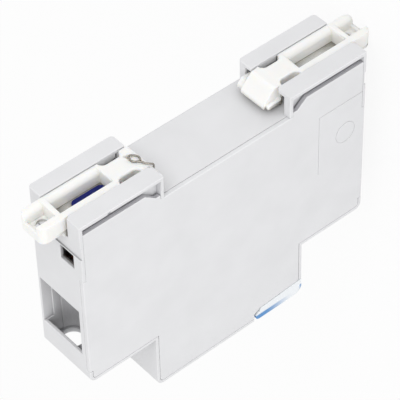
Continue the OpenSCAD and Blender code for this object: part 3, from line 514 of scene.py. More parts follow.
@dataclass(frozen=True)
class ClearMoulding(Finish):
    """Milky clear plastic with a polished face, whose tint gathers along the edge of its front plate."""

    roughness: Pair = (0.08, 0.13)
    body: float = 0.94
    ior: float = 1.49
    flow: float = 5.0
    flow_stretch: Point = (0.3, 1.0, 1.0)
    flow_detail: float = 2.0
    flow_shade: float = 0.98
    flow_depth: float = 0.004
    tint: Colour = (0.33, 0.58, 0.82)
    tint_height: Pair = (-20.0, -10.5)
    tint_depth: Pair = (-57.95, -58.5)
    tint_side: Pair = (6.5, 8.4)
    corner_height: Pair = (-21.6, -22.4)
    corner_depth: Pair = (-56.9, -57.5)

    def gathered(self, tree: ShaderTree) -> Socket:
        """Share of the tint, by place: at the sides of the front plate, near the hinge and the far corner.

        Args:
            tree: The material's tree.

        Returns:
            The share, from 0 to 1.
        """
        aside = tree.ramp(tree.math("ABSOLUTE", tree.along("X")), self.tint_side)
        edge = tree.math("MULTIPLY", tree.ramp(tree.along("Y"), self.tint_depth),
                         tree.ramp(tree.along("Z"), self.tint_height))
        corner = tree.math("MULTIPLY", tree.ramp(tree.along("Y"), self.corner_depth),
                           tree.ramp(tree.along("Z"), self.corner_height))
        return tree.math("MULTIPLY", aside, tree.math("MAXIMUM", edge, corner))

    def make(self) -> bpy.types.Material:
        """Build the clear plastic.

        Returns:
            The material.
        """
        tree = ShaderTree(self.name)
        flow = tree.noise(self.flow, self.flow_detail, tree.stretched(self.flow_stretch))
        base = linear(self.colour)
        colour = tree.blend(tree.spread(flow, 0.0, 1.0), base, scaled(base, self.flow_shade))
        return tree.finished({
            "Base Color": tree.blend(self.gathered(tree), colour, linear(self.tint)),
            "Roughness": tree.spread(flow, *self.roughness),
            "Transmission Weight": 1.0 - self.body,
            "IOR": self.ior,
            "Normal": tree.relief(flow, self.flow_depth),
        })


@dataclass(frozen=True)
class Metal(Finish):
    """Bare metal with lines along one direction, dull patches and painted highlights on its rounded edges."""

    roughness: float = 0.28
    uneven: Pair = (-0.08, 0.12)
    lines: Axis = Axis.Z
    line_size: float = 0.12
    line_depth: float = 0.003
    dull: Colour = (0.4, 0.4, 0.42)
    dull_share: float = 0.35
    dull_size: float = 2.2
    dull_detail: float = 4.0
    # Painted highlight on the rounded edges: its share, and how far its colour goes towards white.
    edge_highlight: float = 0.6
    edge_highlight_white: float = 0.35

    def make(self) -> bpy.types.Material:
        """Build the metal.

        Returns:
            The material.
        """
        tree = ShaderTree(self.name)
        drawn = tree.noise(self.line_size, place=tree.stretched(self.lines.value))
        patches = tree.noise(self.dull_size, self.dull_detail)
        base = linear(self.colour)
        dulled = tree.blend(tree.spread(patches, 0.0, self.dull_share), base, linear(self.dull))
        # Painted highlight: the rounded edges are painted lighter, towards white.
        painted_edge_highlight = tree.spread(tree.edges(), 0.0, self.edge_highlight, 0.0, 1.0)
        smooth, rough = (self.roughness + change for change in self.uneven)
        return tree.finished({
            "Base Color": tree.blend(painted_edge_highlight, dulled, whitened(base, self.edge_highlight_white)),
            "Metallic": 1.0,
            "Roughness": tree.spread(drawn, smooth, rough),
            "Normal": tree.relief(drawn, self.line_depth),
        })


@dataclass(frozen=True)
class Lacquer(Finish):
    """Thick glossy coating with a slight orange-peel surface."""

    roughness: float = 0.18
    uneven: float = 0.12
    coat: float = 0.5
    coat_roughness: float = 0.08
    gloss: float = 0.5
    peel: float = 0.5
    peel_detail: float = 2.0
    peel_depth: float = 0.006
    cloud: float = 1.6
    cloud_shade: float = 0.8

    def make(self) -> bpy.types.Material:
        """Build the lacquer.

        Returns:
            The material.
        """
        tree = ShaderTree(self.name)
        peel = tree.noise(self.peel, self.peel_detail)
        cloud = tree.spread(tree.noise(self.cloud), 0.0, 1.0)
        base = linear(self.colour)
        return tree.finished({
            "Base Color": tree.blend(cloud, base, scaled(base, self.cloud_shade)),
            "Roughness": tree.spread(peel, self.roughness, self.roughness + self.uneven),
            "Specular IOR Level": self.gloss,
            "Coat Weight": self.coat,
            "Coat Roughness": self.coat_roughness,
            "Normal": tree.relief(peel, self.peel_depth),
        })


@dataclass(frozen=True)
class Laminate(Finish):
    """Circuit board laminate: weave under a green mask, with tracks that show through it."""

    roughness: Pair = (0.25, 0.4)
    weave: float = 0.4
    weave_detail: float = 1.0
    weave_share: float = 0.35
    weave_dark: Linear = (0.01, 0.05, 0.02, 1.0)
    track: Colour = (0.16, 0.46, 0.24)
    track_scale: float = 0.45
    track_width: float = 0.06
    track_depth: float = 0.02

    def make(self) -> bpy.types.Material:
        """Build the laminate.

        Returns:
            The material.
        """
        tree = ShaderTree(self.name)
        tracks = tree.add("ShaderNodeTexBrick", {
            "Vector": tree.stretched((0.0, 1.0 / MM, 1.0 / MM)), "Scale": self.track_scale,
            "Mortar Size": self.track_width, "Mortar": WHITE, "Color1": BLACK, "Color2": BLACK})
        shown = tracks.outputs["Color"]
        weave = tree.noise(self.weave, self.weave_detail)
        base = tree.blend(tree.spread(weave, 0.0, self.weave_share), linear(self.colour), self.weave_dark)
        return tree.finished({
            "Base Color": tree.blend(shown, base, linear(self.track)),
            "Roughness": tree.spread(weave, *self.roughness),
            "Normal": tree.relief(shown, self.track_depth),
        })


@dataclass(frozen=True)
class Card(Finish):
    """Smooth card with paper fibres."""

    roughness: Pair = (0.65, 0.85)
    fibre: float = 0.25
    fibre_stretch: Point = (1.0, 1.0, 0.4)
    fibre_detail: float = 4.0
    fibre_shade: float = 0.95
    fibre_depth: float = 0.006

    def make(self) -> bpy.types.Material:
        """Build the card.

        Returns:
            The material.
        """
        tree = ShaderTree(self.name)
        fibre = tree.noise(self.fibre, self.fibre_detail, tree.stretched(self.fibre_stretch))
        base = linear(self.colour)
        return tree.finished({
            "Base Color": tree.blend(tree.spread(fibre, 0.0, 1.0), base, scaled(base, self.fibre_shade)),
            "Roughness": tree.spread(fibre, *self.roughness),
            "Normal": tree.relief(fibre, self.fibre_depth),
        })


# In these finishes, each moulding's corner, gap and hollow colours are painted shade where the surface is
# closed in. On the cover, the hollow colour makes a band of painted shade along its upper edge under the
# ribs. The clips' warm corner colour is painted shade in their crevices. The edge highlight shares of
# mouldings and metals are painted highlights on rounded edges.
SHELL_GREY = CaseMoulding("shell_grey_moulding", "shell", (0.888, 0.889, 0.896), corner_share=0.3,
                          gap_share=0.4, hollow_shade=(0.42, 0.42, 0.43), hollow_share=0.65, hollow_reach=9.0)
COVER_GREY = CoverMoulding("cover_grey_moulding", "shell", (0.892, 0.893, 0.9), roughness=0.47,
                           corner_share=0.15, gap_share=0.2, hollow_shade=(0.71, 0.705, 0.72), hollow_share=1.0,
                           hollow_open=(0.9, 1.0))
CLIP_WHITE = ClipMoulding("clip_white_moulding", "clip", (0.968, 0.966, 0.955), roughness=0.4,
                          grain_depth=0.002, mottle=0.01, corner=(0.86, 0.83, 0.75), corner_share=0.2,
                          corner_reach=1.5, hollow_shade=(0.42, 0.4, 0.36), hollow_share=0.9, edge_highlight=0.4,
                          scatter=0.5, scatter_reach=1.2)
FLAP_BLUE = ClearMoulding("flap_clear_blue", "flap", (0.972, 0.986, 0.998))
CARD_WHITE = Card("label_card_white", "card", (0.95, 0.96, 0.97))
DRAWN_STEEL = Metal("drawn_steel", "steel", (0.80, 0.80, 0.80), lines=Axis.X)
WIRE_STEEL = Metal("bent_wire_steel", "steel", (0.66, 0.64, 0.61), roughness=0.22, dull=(0.34, 0.32, 0.3))
SCREW_STEEL = Metal("zinc_plated_steel", "steel", (0.82, 0.83, 0.84), roughness=0.3, lines=Axis.Y)
BLUED_STEEL = Lacquer("blued_spring_steel", "blued", (0.08, 0.12, 0.43), roughness=0.3, coat=0.05, gloss=0.2)
COPPER = Metal("bright_copper", "copper", (0.86, 0.56, 0.40), dull=(0.55, 0.32, 0.22))
BRASS = Metal("bright_brass", "brass", (0.86, 0.74, 0.46), dull=(0.6, 0.48, 0.26), lines=Axis.Y)
SILVER = Metal("silver_contact_alloy", "silver", (0.9, 0.9, 0.89), dull=(0.6, 0.59, 0.57))
BLACK_MOULDING = Moulding("black_moulding", "black", (0.12, 0.12, 0.13), roughness=0.42,
                          corner=(0.02, 0.02, 0.02), edge_highlight=0.12, mottle=0.08)
CARRIER_GREY = Moulding("dark_grey_moulding", "carrier", (0.22, 0.23, 0.25), corner=(0.06, 0.06, 0.07),
                        edge_highlight=0.15, mottle=0.06)
BUTTON_YELLOW = Moulding("yellow_moulding", "button", (0.93, 0.76, 0.16), roughness=0.35,
                         corner=(0.5, 0.36, 0.05), edge_highlight=0.2)
BROWN_SLEEVE = Moulding("brown_insulation", "brown_insulation", (0.36, 0.22, 0.14), roughness=0.4,
                        corner=(0.1, 0.06, 0.04))
BLUE_SLEEVE = Moulding("blue_insulation", "blue_insulation", (0.14, 0.34, 0.68), roughness=0.4,
                       corner=(0.04, 0.09, 0.2))
CORE_GREY = Moulding("sintered_core", "core", (0.30, 0.31, 0.33), roughness=0.7, grain=0.3, grain_depth=0.02,
                     mottle=0.12, corner=(0.1, 0.1, 0.1))
BOARD_GREEN = Laminate("green_laminate", "board", (0.08, 0.34, 0.17))
CAN_BLUE = Lacquer("sleeved_can", "can", (0.14, 0.19, 0.44))
RESISTOR_TAN = Lacquer("tan_lacquer", "resistor", (0.76, 0.65, 0.46))
VARISTOR_BLUE = Lacquer("blue_lacquer", "varistor", (0.16, 0.36, 0.68))
LEVER_IVORY = Moulding("natural_moulding", "lever", (0.86, 0.85, 0.80), corner=(0.5, 0.47, 0.4), scatter=0.1)
WIRE_ENAMEL = Lacquer("wire_enamel", "copper", (0.66, 0.33, 0.17))
MARK_WHITE = Card("switch_mark_white", "card", (0.93, 0.93, 0.92))
MARK_DARK = Card("button_mark_dark", "black", (0.12, 0.11, 0.10))


def link_piece(name: str, mesh: Mesh) -> Piece:
    """Put a mesh into the scene as an object at the origin.

    Args:
        name: Name of the piece.
        mesh: Its mesh, already in its place.

    Returns:
        The new object.
    """
    mesh.name = name
    piece = bpy.data.objects.new(name, mesh)
    bpy.context.scene.collection.objects.link(piece)
    return piece


def apply_modifiers(piece: Piece) -> None:
    """Replace a piece's mesh by its evaluated one and drop the modifiers.

    Args:
        piece: The piece.
    """
    bpy.context.view_layer.update()
    graph = bpy.context.evaluated_depsgraph_get()
    shown = piece.evaluated_get(graph)
    mesh = bpy.data.meshes.new_from_object(shown, preserve_all_data_layers=True, depsgraph=graph)
    old = piece.data
    name = old.name
    piece.modifiers.clear()
    piece.data = mesh
    bpy.data.meshes.remove(old)
    mesh.name = name


def edge_room(edge: bmesh.types.BMEdge) -> float:
    """Least width of the faces beside an edge, measured at its two ends.

    Args:
        edge: The edge.

    Returns:
        The width in metres.
    """
    room = math.inf
    along = (edge.verts[1].co - edge.verts[0].co).normalized()
    for vert in edge.verts:
        for other in vert.link_edges:
            if other is edge:
                continue
            across = other.other_vert(vert).co - vert.co
            sine = across.normalized().cross(along).length
            if sine > LEAST_SINE:
                room = min(room, across.length * sine)
    return room


def is_outer(edge: bmesh.types.BMEdge) -> bool:
    """Whether an edge is a sharp outer corner between two faces."""
    return len(edge.link_faces) == 2 and edge.is_convex and edge.calc_face_angle(0.0) > SHARP_ANGLE


def edge_chains(edges: list[bmesh.types.BMEdge]) -> list[list[bmesh.types.BMEdge]]:
    """Group edges that share one bevel width: those that run on from each other, or meet alone.

    Args:
        edges: The edges to bevel.

    Returns:
        The groups, each of one edge or more.
    """
    outer = set(edges)
    chosen = set(edges)
    chains = []
    while chosen:
        chain = [chosen.pop()]
        for edge in chain:
            for vert in edge.verts:
                ahead = vert.co - edge.other_vert(vert).co
                met = [other for other in vert.link_edges if other in outer]
                for other in met:
                    turn = ahead.angle(other.other_vert(vert).co - vert.co, math.pi)
                    if other in chosen and (len(met) == 2 or turn < CHAIN_TURN):
                        chosen.discard(other)
                        chain.append(other)
        chains.append(chain)
    return chains


def turns_round(point: Vector, outline: list[Vector]) -> int:
    """How many times a flat outline runs anticlockwise round a point.

    Args:
        point: The point.
        outline: The outline's corners, in order.

    Returns:
        The number of turns, 0 for a point outside.
    """
    turns = 0
    for first, second in zip(outline, outline[1:] + outline[:1]):
        side = (second - first).cross(point - first)
        if first.y <= point.y < second.y and side > 0.0:
            turns += 1
        elif second.y <= point.y < first.y and side < 0.0:
            turns -= 1
    return turns


def fill_face(mesh: bmesh.types.BMesh, face: bmesh.types.BMFace) -> None:
    """Replace a many-cornered flat face by triangles that fill it exactly, holes and all.

    Args:
        mesh: The mesh.
        face: The face.
    """
    corners = list(face.verts)
    right = face.normal.orthogonal().normalized()
    up = face.normal.cross(right)
    start = corners[0].co.copy()
    offsets = [(vert.co - start) / MM for vert in corners]
    outline = [Vector((offset.dot(right), offset.dot(up))) for offset in offsets]
    ring = [(i, (i + 1) % len(outline)) for i in range(len(outline))]
    points, _, triangles, origins, _, _ = delaunay_2d_cdt(outline, ring, [], 0, FILL_GAP)
    verts = []
    for point, origin in zip(points, origins):
        place = start + (right * point.x + up * point.y) * MM
        verts.append(corners[origin[0]] if origin else mesh.verts.new(place))
    index = face.material_index
    mesh.faces.remove(face)
    for triangle in triangles:
        middle = sum((points[i] for i in triangle), Vector((0.0, 0.0))) / 3
        trio = [verts[i] for i in triangle]
        if turns_round(middle, outline) > 0 and len(set(trio)) == 3 and mesh.faces.get(trio) is None:
            mesh.faces.new(trio).material_index = index


@dataclass
class EdgeRounder:
    """Rounds the outer edges of a copy of a frame node, each as far as its faces have room for."""

    edge: Edge
    room_share: float = 0.42
    flat_weight: int = 100

    def merged(self, source: Mesh) -> bmesh.types.BMesh:
        """Copy of a mesh with its loose triangles merged into whole faces.

        Args:
            source: The node's mesh, which stays as it is.

        Returns:
            The merged copy.
        """
        copy = bmesh.new()
        copy.from_mesh(source)
        bmesh.ops.remove_doubles(copy, verts=copy.verts, dist=MERGE_GAP)
        bmesh.ops.dissolve_limit(copy, angle_limit=FLAT_ANGLE, verts=copy.verts, edges=copy.edges)
        return copy

    def weigh(self, copy: bmesh.types.BMesh) -> None:
        """Give each outer edge a bevel weight that its faces have room for.

        Args:
            copy: The merged mesh.
        """
        weights = copy.edges.layers.float.new("bevel_weight_edge")
        radius = self.edge.radius * MM
        outer = [edge for edge in copy.edges if is_outer(edge)]
        for chain in edge_chains(outer):
            room = min(edge_room(edge) for edge in chain)
            for edge in chain:
                edge[weights] = min(1.0, self.room_share * room / radius)

    def fill(self, mesh: Mesh) -> None:
        """Fill the faces of more than four corners with triangles of their own.

        Args:
            mesh: The bevelled mesh.
        """
        copy = bmesh.new()
        copy.from_mesh(mesh)
        copy.normal_update()
        for face in [face for face in copy.faces if len(face.verts) > 4]:
            fill_face(copy, face)
        copy.to_mesh(mesh)
        copy.free()

    def mark(self, mesh: Mesh) -> None:
        """Store which faces are rounded edges, and put every face on the first material.

        Args:
            mesh: The bevelled mesh, with its new faces on the second material.
        """
        rounded = [float(face.material_index == 1) for face in mesh.polygons]
        mask = mesh.attributes.new(EDGE_ATTRIBUTE, "FLOAT", "FACE")
        mask.data.foreach_set("value", rounded)
        mesh.polygons.foreach_set("material_index", [0] * len(mesh.polygons))
        mesh.polygons.foreach_set("use_smooth", [True] * len(mesh.polygons))
        mesh.materials.clear()
        mesh.set_sharp_from_angle(angle=SHARP_ANGLE)

    def rounded(self, name: str, source: Mesh) -> Piece:
        """Make a piece with rounded edges from a node's mesh.

        Args:
            name: Name of the piece.
            source: The node's mesh.

        Returns:
            The piece, with no modifiers left on it.
        """
        copy = self.merged(source)
        self.weigh(copy)
        mesh = bpy.data.meshes.new(name)
        copy.to_mesh(mesh)
        copy.free()
        mesh.materials.clear()
        mesh.materials.append(None)
        mesh.materials.append(None)
        mesh.polygons.foreach_set("material_index", [0] * len(mesh.polygons))
        piece = link_piece(name, mesh)
        bevel = piece.modifiers.new("rounded_edges", "BEVEL")
        bevel.limit_method = "WEIGHT"
        bevel.width = self.edge.radius * MM
        bevel.segments = self.edge.steps
        bevel.use_clamp_overlap = False
        bevel.material = 1
        apply_modifiers(piece)
        self.fill(piece.data)
        self.mark(piece.data)
        normals = piece.modifiers.new("flat_faces", "WEIGHTED_NORMAL")
        normals.keep_sharp = True
        normals.weight = self.flat_weight
        apply_modifiers(piece)
        return piece


class GeometryTree(NodeTree):
    """A geometry node tree under construction, with named inputs for its sizes."""

    def __init__(self, name: str, takes_geometry: bool = False) -> None:
        """Start a tree.

        Args:
            name: Name of the tree.
            takes_geometry: Whether it works on the object's own mesh.
        """
        self.group = bpy.data.node_groups.new(name, "GeometryNodeTree")
        super().__init__(self.group)
        self.group.interface.new_socket("Geometry", in_out="OUTPUT", socket_type="NodeSocketGeometry")
        self.identifiers: dict[str, str] = {}
        self.group_input = self.add("NodeGroupInput")
        if takes_geometry:
            self.take("NodeSocketGeometry", "Geometry")
        self.take("NodeSocketMaterial", "Finish")

    def take(self, kind: str, *names: str) -> None:
        """Add named inputs of a given socket type."""
        for name in names:
            socket = self.group.interface.new_socket(name, in_out="INPUT", socket_type=kind)
            self.identifiers[name] = socket.identifier

    def given(self, name: str) -> Socket:
        """The socket inside the tree that carries a named input."""
        return self.group_input.outputs[name]

    def times(self, first: object, second: object) -> Socket:
        """The product of two sockets or numbers."""
        return self.math("MULTIPLY", first, second)

    def swept(self, path: Socket, radius: Socket, sides: int) -> Socket:
        """Sweep a round section along a path.

        Args:
            path: The path, a curve.
            radius: Radius of the section.
            sides: Sides of the section.

        Returns:
            The closed tube.
        """
        section = self.add("GeometryNodeCurvePrimitiveCircle", {"Resolution": sides, "Radius": radius})
        tube = self.add("GeometryNodeCurveToMesh", {
            "Curve": path, "Profile Curve": section.outputs["Curve"], "Fill Caps": True})
        return self.add("GeometryNodeSetShadeSmooth", {"Geometry": tube.outputs["Mesh"]}).outputs[0]

    def close(self, geometry: Socket) -> None:
        """End the tree with real geometry in the given finish.

        Args:
            geometry: What the tree has made.
        """
        real = self.add("GeometryNodeRealizeInstances", {"Geometry": geometry})
        dressed = self.add("GeometryNodeSetMaterial", {
            "Geometry": real.outputs[0], "Material": self.given("Finish")})
        self.add("NodeGroupOutput", {"Geometry": dressed.outputs[0]})

    def make(self, name: str, finish: Finish, values: dict[str, SocketValue],
             mesh: Mesh | None = None) -> Piece:
        """Run the tree and keep the result as a plain piece.

        Args:
            name: Name of the piece.
            finish: Its finish.
            values: Values of the tree's other inputs, by name.
            mesh: Mesh that the tree starts from, or none for an empty one.

        Returns:
            The piece, with its modifier applied and removed.
        """
        piece = link_piece(name, mesh or bpy.data.meshes.new(name))
        modifier = piece.modifiers.new(name, "NODES")
        modifier.node_group = self.group
        modifier[self.identifiers["Finish"]] = finish.material()
        for key, value in values.items():
            modifier[self.identifiers[key]] = value
        apply_modifiers(piece)
        return piece


class WireTree(GeometryTree):
    """A round wire along the smooth curve through a path's points."""

    sides = 12

    def __init__(self) -> None:
        """Build the tree."""
        super().__init__("round_wire", takes_geometry=True)
        self.take("NodeSocketFloat", "Wire Radius")
        self.take("NodeSocketInt", "Steps")
        curve = self.add("GeometryNodeMeshToCurve", {"Mesh": self.given("Geometry")})
        smooth = self.add("GeometryNodeCurveSplineType", {"Curve": curve.outputs[0]},
                          spline_type="CATMULL_ROM")
        fine = self.add("GeometryNodeSetSplineResolution", {
            "Geometry": smooth.outputs[0], "Resolution": self.given("Steps")})
        self.close(self.swept(fine.outputs[0], self.given("Wire Radius"), self.sides))

    def along(self, name: str, points: Iterable[Sequence[float]], radius: float, finish: Finish,
              steps: int = 6) -> Piece:
        """Make a wire.

        Args:
            name: Name of the piece.
            points: Points of its centre line, in millimetres.
            radius: Radius of the wire, in millimetres.
            finish: Its finish.
            steps: Rings between two points.

        Returns:
            The piece.
        """
        route = [metres(point) for point in points]
        mesh = bpy.data.meshes.new(name)
        mesh.from_pydata(route, [(i, i + 1) for i in range(len(route) - 1)], [])
        return self.make(name, finish, {"Wire Radius": radius * MM, "Steps": steps}, mesh)


@dataclass(frozen=True)
class Coil:
    """Sizes of a coil of round wire, in millimetres and turns.

    The radius goes to the middle of the wire. An even share of less than 1 closes up the ends.
    """

    base: Point
    radius: float
    length: float
    turns: float
    wire: float
    facing: Facing = Facing.UP
    even: float = 1.0

    def kept(self, travel: float) -> float:
        """Share of the coil's height that is left when it is pressed by a travel."""
        return 1.0 - travel / (self.length + 2 * self.wire)


class CoilTree(GeometryTree):
    """A coil of round wire, with turns that may close up towards its ends."""

    sides = 10
    rings_per_turn = 28.0

    def __init__(self) -> None:
        """Build the tree."""
        super().__init__("coil_of_wire")
        self.take("NodeSocketFloat", "Coil Radius", "Length", "Turns", "Wire Radius", "Even Share")
        self.take("NodeSocketVector", "Base")
        self.take("NodeSocketRotation", "Turned")
        rings = self.times(self.given("Turns"), self.rings_per_turn)
        line = self.add("GeometryNodeMeshLine", {"Count": self.math("ADD", rings, 1.0)})
        index = self.add("GeometryNodeInputIndex").outputs[0]
        share = self.math("DIVIDE", index, rings)
        angle = self.times(self.times(share, self.given("Turns")), math.tau)
        eased = self.add("ShaderNodeMapRange", {"Value": share}, interpolation_type="SMOOTHSTEP").outputs[0]
        even = self.given("Even Share")
        rise = self.math("ADD", self.times(share, even),
                         self.times(eased, self.math("SUBTRACT", 1.0, even)))
        place = self.add("ShaderNodeCombineXYZ", {
            "X": self.times(self.math("COSINE", angle), self.given("Coil Radius")),
            "Y": self.times(self.math("SINE", angle), self.given("Coil Radius")),
            "Z": self.times(rise, self.given("Length"))})
        wound = self.add("GeometryNodeSetPosition", {
            "Geometry": line.outputs[0], "Position": place.outputs[0]})
        placed = self.add("GeometryNodeTransform", {
            "Geometry": wound.outputs[0], "Translation": self.given("Base"),
            "Rotation": self.given("Turned")})
        curve = self.add("GeometryNodeMeshToCurve", {"Mesh": placed.outputs[0]})
        self.close(self.swept(curve.outputs[0], self.given("Wire Radius"), self.sides))

    def wound(self, name: str, coil: Coil, finish: Finish) -> Piece:
        """Make a coil.

        Args:
            name: Name of the piece.
            coil: Its sizes.
            finish: Its finish.

        Returns:
            The piece.
        """
        return self.make(name, finish, {
            "Coil Radius": coil.radius * MM, "Length": coil.length * MM, "Turns": float(coil.turns),
            "Wire Radius": coil.wire * MM, "Even Share": coil.even, "Base": metres(coil.base),
            "Turned": [math.radians(angle) for angle in coil.facing.value]})


class RibTree(GeometryTree):
    """A row of half-round ribs along X, spaced from one point to another."""

    sides = 10

    def __init__(self) -> None:
        """Build the tree."""
        super().__init__("grip_ribs")
        self.take("NodeSocketFloat", "Rib Radius", "Half Width")
        self.take("NodeSocketInt", "Count")
        self.take("NodeSocketVector", "First", "Last")
        line = self.add("GeometryNodeMeshLine", {
            "Count": self.given("Count"), "Start Location": self.given("First"),
            "Offset": self.given("Last")}, mode="END_POINTS")
        start = self.add("ShaderNodeCombineXYZ", {"X": self.times(self.given("Half Width"), -1.0)})
        end = self.add("ShaderNodeCombineXYZ", {"X": self.given("Half Width")})
        stroke = self.add("GeometryNodeCurvePrimitiveLine", {
            "Start": start.outputs[0], "End": end.outputs[0]})
        rib = self.swept(stroke.outputs[0], self.given("Rib Radius"), self.sides)
        row = self.add("GeometryNodeInstanceOnPoints", {"Points": line.outputs[0], "Instance": rib})
        self.close(row.outputs[0])

    def row(self, name: str, ends: tuple[Vector, Vector], count: int, half_width: float, radius: float,
            finish: Finish) -> Piece:
        """Make a row of ribs.

        Args:
            name: Name of the piece.
            ends: Middle of the first rib and of the last one, in millimetres.
            count: Number of ribs.
            half_width: Half of a rib's length, in millimetres.
            radius: Radius of a rib, in millimetres.
            finish: Its finish.

        Returns:
            The piece.
        """
        return self.make(name, finish, {
            "Rib Radius": radius * MM, "Half Width": half_width * MM, "Count": count,
            "First": metres(ends[0]), "Last": metres(ends[1])})


@dataclass(frozen=True)
class Mark:
    """A printed mark: strokes of one width along flat paths, in millimetres."""

    strokes: Sequence[Sequence[Pair]]
    closed: bool = False
    width: float = 0.34
    proud: float = 0.015

    def section(self, path: Sequence[Pair], i: int) -> list[Point]:
        """Corners of a stroke's section at one of its points.

        Args:
            path: The stroke's path.
            i: Number of the point.

        Returns:
            Four corners, each across, up and out of the face.
        """
        last = len(path) - 1
        before = path[i - 1] if self.closed or i > 0 else path[i]
        after = path[0 if i == last else i + 1] if self.closed or i < last else path[i]
        along = (Vector(after) - Vector(before)).normalized()
        side = Vector((-along.y, along.x)) * self.width / 2
        left = Vector(path[i]) + side
        right = Vector(path[i]) - side
        return [(*left, self.proud), (*right, self.proud), (*right, -self.proud), (*left, -self.proud)]

    def mesh(self, name: str, place: Placing) -> Mesh:
        """Make the mark's mesh on a face.

        Args:
            name: Name of the mesh.
            place: Takes a point across, up and out of the face to its place in millimetres.

        Returns:
            A closed mesh, half sunk into the face.
        """
        verts = []
        faces = []
        for path in self.strokes:
            start = len(verts)
            count = len(path)
            for i in range(count):
                verts.extend(metres(place(*corner)) for corner in self.section(path, i))
            for i in range(count if self.closed else count - 1):
                here = start + 4 * i
                there = start + 4 * ((i + 1) % count)
                faces.extend((here + k, here + (k + 1) % 4, there + (k + 1) % 4, there + k) for k in range(4))
            if not self.closed:
                faces.append([start + k for k in range(4)])
                faces.append([start + 4 * count - 1 - k for k in range(4)])
        mesh = bpy.data.meshes.new(name)
        mesh.from_pydata(verts, [], faces)
        copy = bmesh.new()
        copy.from_mesh(mesh)
        bmesh.ops.recalc_face_normals(copy, faces=copy.faces)
        copy.to_mesh(mesh)
        copy.free()
        return mesh


@dataclass
class Workbench:
    """What the sub-assemblies share: the frame's nodes, the node trees and the list of pieces made."""

    nodes: dict[str, Piece]
    wires: WireTree = field(default_factory=WireTree)
    coils: CoilTree = field(default_factory=CoilTree)
    ribs: RibTree = field(default_factory=RibTree)
    made: list[str] = field(default_factory=list)

    def settle(self, piece: Piece, body: Body, finish: Finish, *stands_for: str) -> Piece:
        """Give a finished piece its body and, if it has none, its finish's material, and hide the nodes that
        it stands for.

        Args:
            piece: The piece.
            body: Body that it rides on.
            finish: Finish whose material it gets if it has none.
            stands_for: Nodes of the frame that it replaces.

        Returns:
            The piece.
        """
        if not piece.data.materials:
            piece.data.materials.append(finish.material())
        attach(piece, body.value)
        if stands_for:
            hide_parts(*stands_for)
        self.made.append(piece.name)
        LOG.info("%s rides on %s in %s", piece.name, body.value, finish.name)
        return piece

    def dress(self, node: str, body: Body, finish: Finish, edge: Edge = Edge.MOULDED) -> Piece:
        """Replace a node by its own shape with rounded edges and a finish.

        Args:
            node: Name of the node.
            body: Body that it belongs to.
            finish: Its finish.
            edge: How its edges are rounded.

        Returns:
            The piece.
        """
        piece = EdgeRounder(edge).rounded(f"{node}_dressed", self.nodes[node].data)
        return self.settle(piece, body, finish, node)

    def wind(self, name: str, coil: Coil, body: Body, finish: Finish, *stands_for: str) -> Piece:
        """Wind a coil in a finish and settle it as a piece of a body."""
        return self.settle(self.coils.wound(name, coil, finish), body, finish, *stands_for)

    def stamp(self, name: str, mark: Mark, place: Placing, body: Body, finish: Finish) -> Piece:
        """Put a mark on a face and settle it as a piece of a body."""
        return self.settle(link_piece(name, mark.mesh(name, place)), body, finish)


@dataclass
class Housing:
    """The case and the side cover that closes it."""

    bench: Workbench

    def build(self) -> None:
        """Dress both mouldings."""
        self.bench.dress("case_shell", Body.CASE, SHELL_GREY)
        self.bench.dress("side_cover", Body.CASE, COVER_GREY)


@dataclass
class RailClips:
    """The two clips that hold the rail, with their leaf springs, the coil spring and the wire."""

    bench: Workbench
    wire_radius: float = 0.23
    wire_route: Sequence[Point] = (
        (1.3, 4.9, 18.6),
        (1.3, 5.75, 18.55),
        (1.05, 6.13, 18.4),
        (0.45, 6.13, 18.25),
        (-0.25, 6.13, 18.4),
        (-0.95, 6.13, 18.9),
        (-1.25, 6.13, 19.45),
        (-1.0, 6.13, 19.95),
        (-0.35, 6.13, 20.2),
        (0.45, 6.13, 20.2),
        (1.0, 6.13, 19.8),
        (1.4, 6.13, 19.2),
        (2.0, 6.13, 18.75),
        (2.8, 6.13, 18.35),
        (3.5, 6.1, 17.8),
        (3.95, 5.8, 17.12),
        (4.0, 4.6, 17.1),
    )
    spring: Coil = Coil(base=(-0.15, 0.89, -30.46), radius=0.55, length=9.32, turns=9.0, wire=0.14, even=0.6)
    travel: float = 3.2

    def build(self) -> None:
        """Dress the clips and their leaves, and make the wire and the coil spring."""
        self.bench.dress("upper_rail_clip", Body.UPPER_CLIP, CLIP_WHITE, Edge.SOFT)
        self.bench.dress("lower_rail_clip", Body.LOWER_CLIP, CLIP_WHITE, Edge.SOFT)
        self.bench.dress("upper_clip_leaf", Body.UPPER_CLIP, BLUED_STEEL, Edge.PUNCHED)
        self.bench.dress("lower_clip_leaf", Body.CASE, BLUED_STEEL, Edge.PUNCHED)
        wire = self.bench.wires.along("upper_clip_wire_bent", self.wire_route, self.wire_radius, WIRE_STEEL)
        self.bench.settle(wire, Body.UPPER_CLIP, WIRE_STEEL, "upper_clip_wire")
        self.coil_spring()

    def coil_spring(self) -> None:
        """Make the coil that pushes the lower clip."""
        coil = self.spring
        spring = self.bench.wind("lower_clip_spring_wound", coil, Body.CASE, DRAWN_STEEL, "lower_clip_spring")
        keep = coil.kept(self.travel)
        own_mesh(spring)


@dataclass
class LabelFlap:
    """The clear flap over the label card, and its hinge pin."""

    bench: Workbench

    def build(self) -> None:
        """Dress the flap, the pin and the card."""
        self.bench.dress("label_flap", Body.FLAP, FLAP_BLUE, Edge.CRISP)
        self.bench.dress("label_flap_pin", Body.CASE, DRAWN_STEEL, Edge.PUNCHED)
        self.bench.dress("label_card", Body.CASE, CARD_WHITE, Edge.PUNCHED)


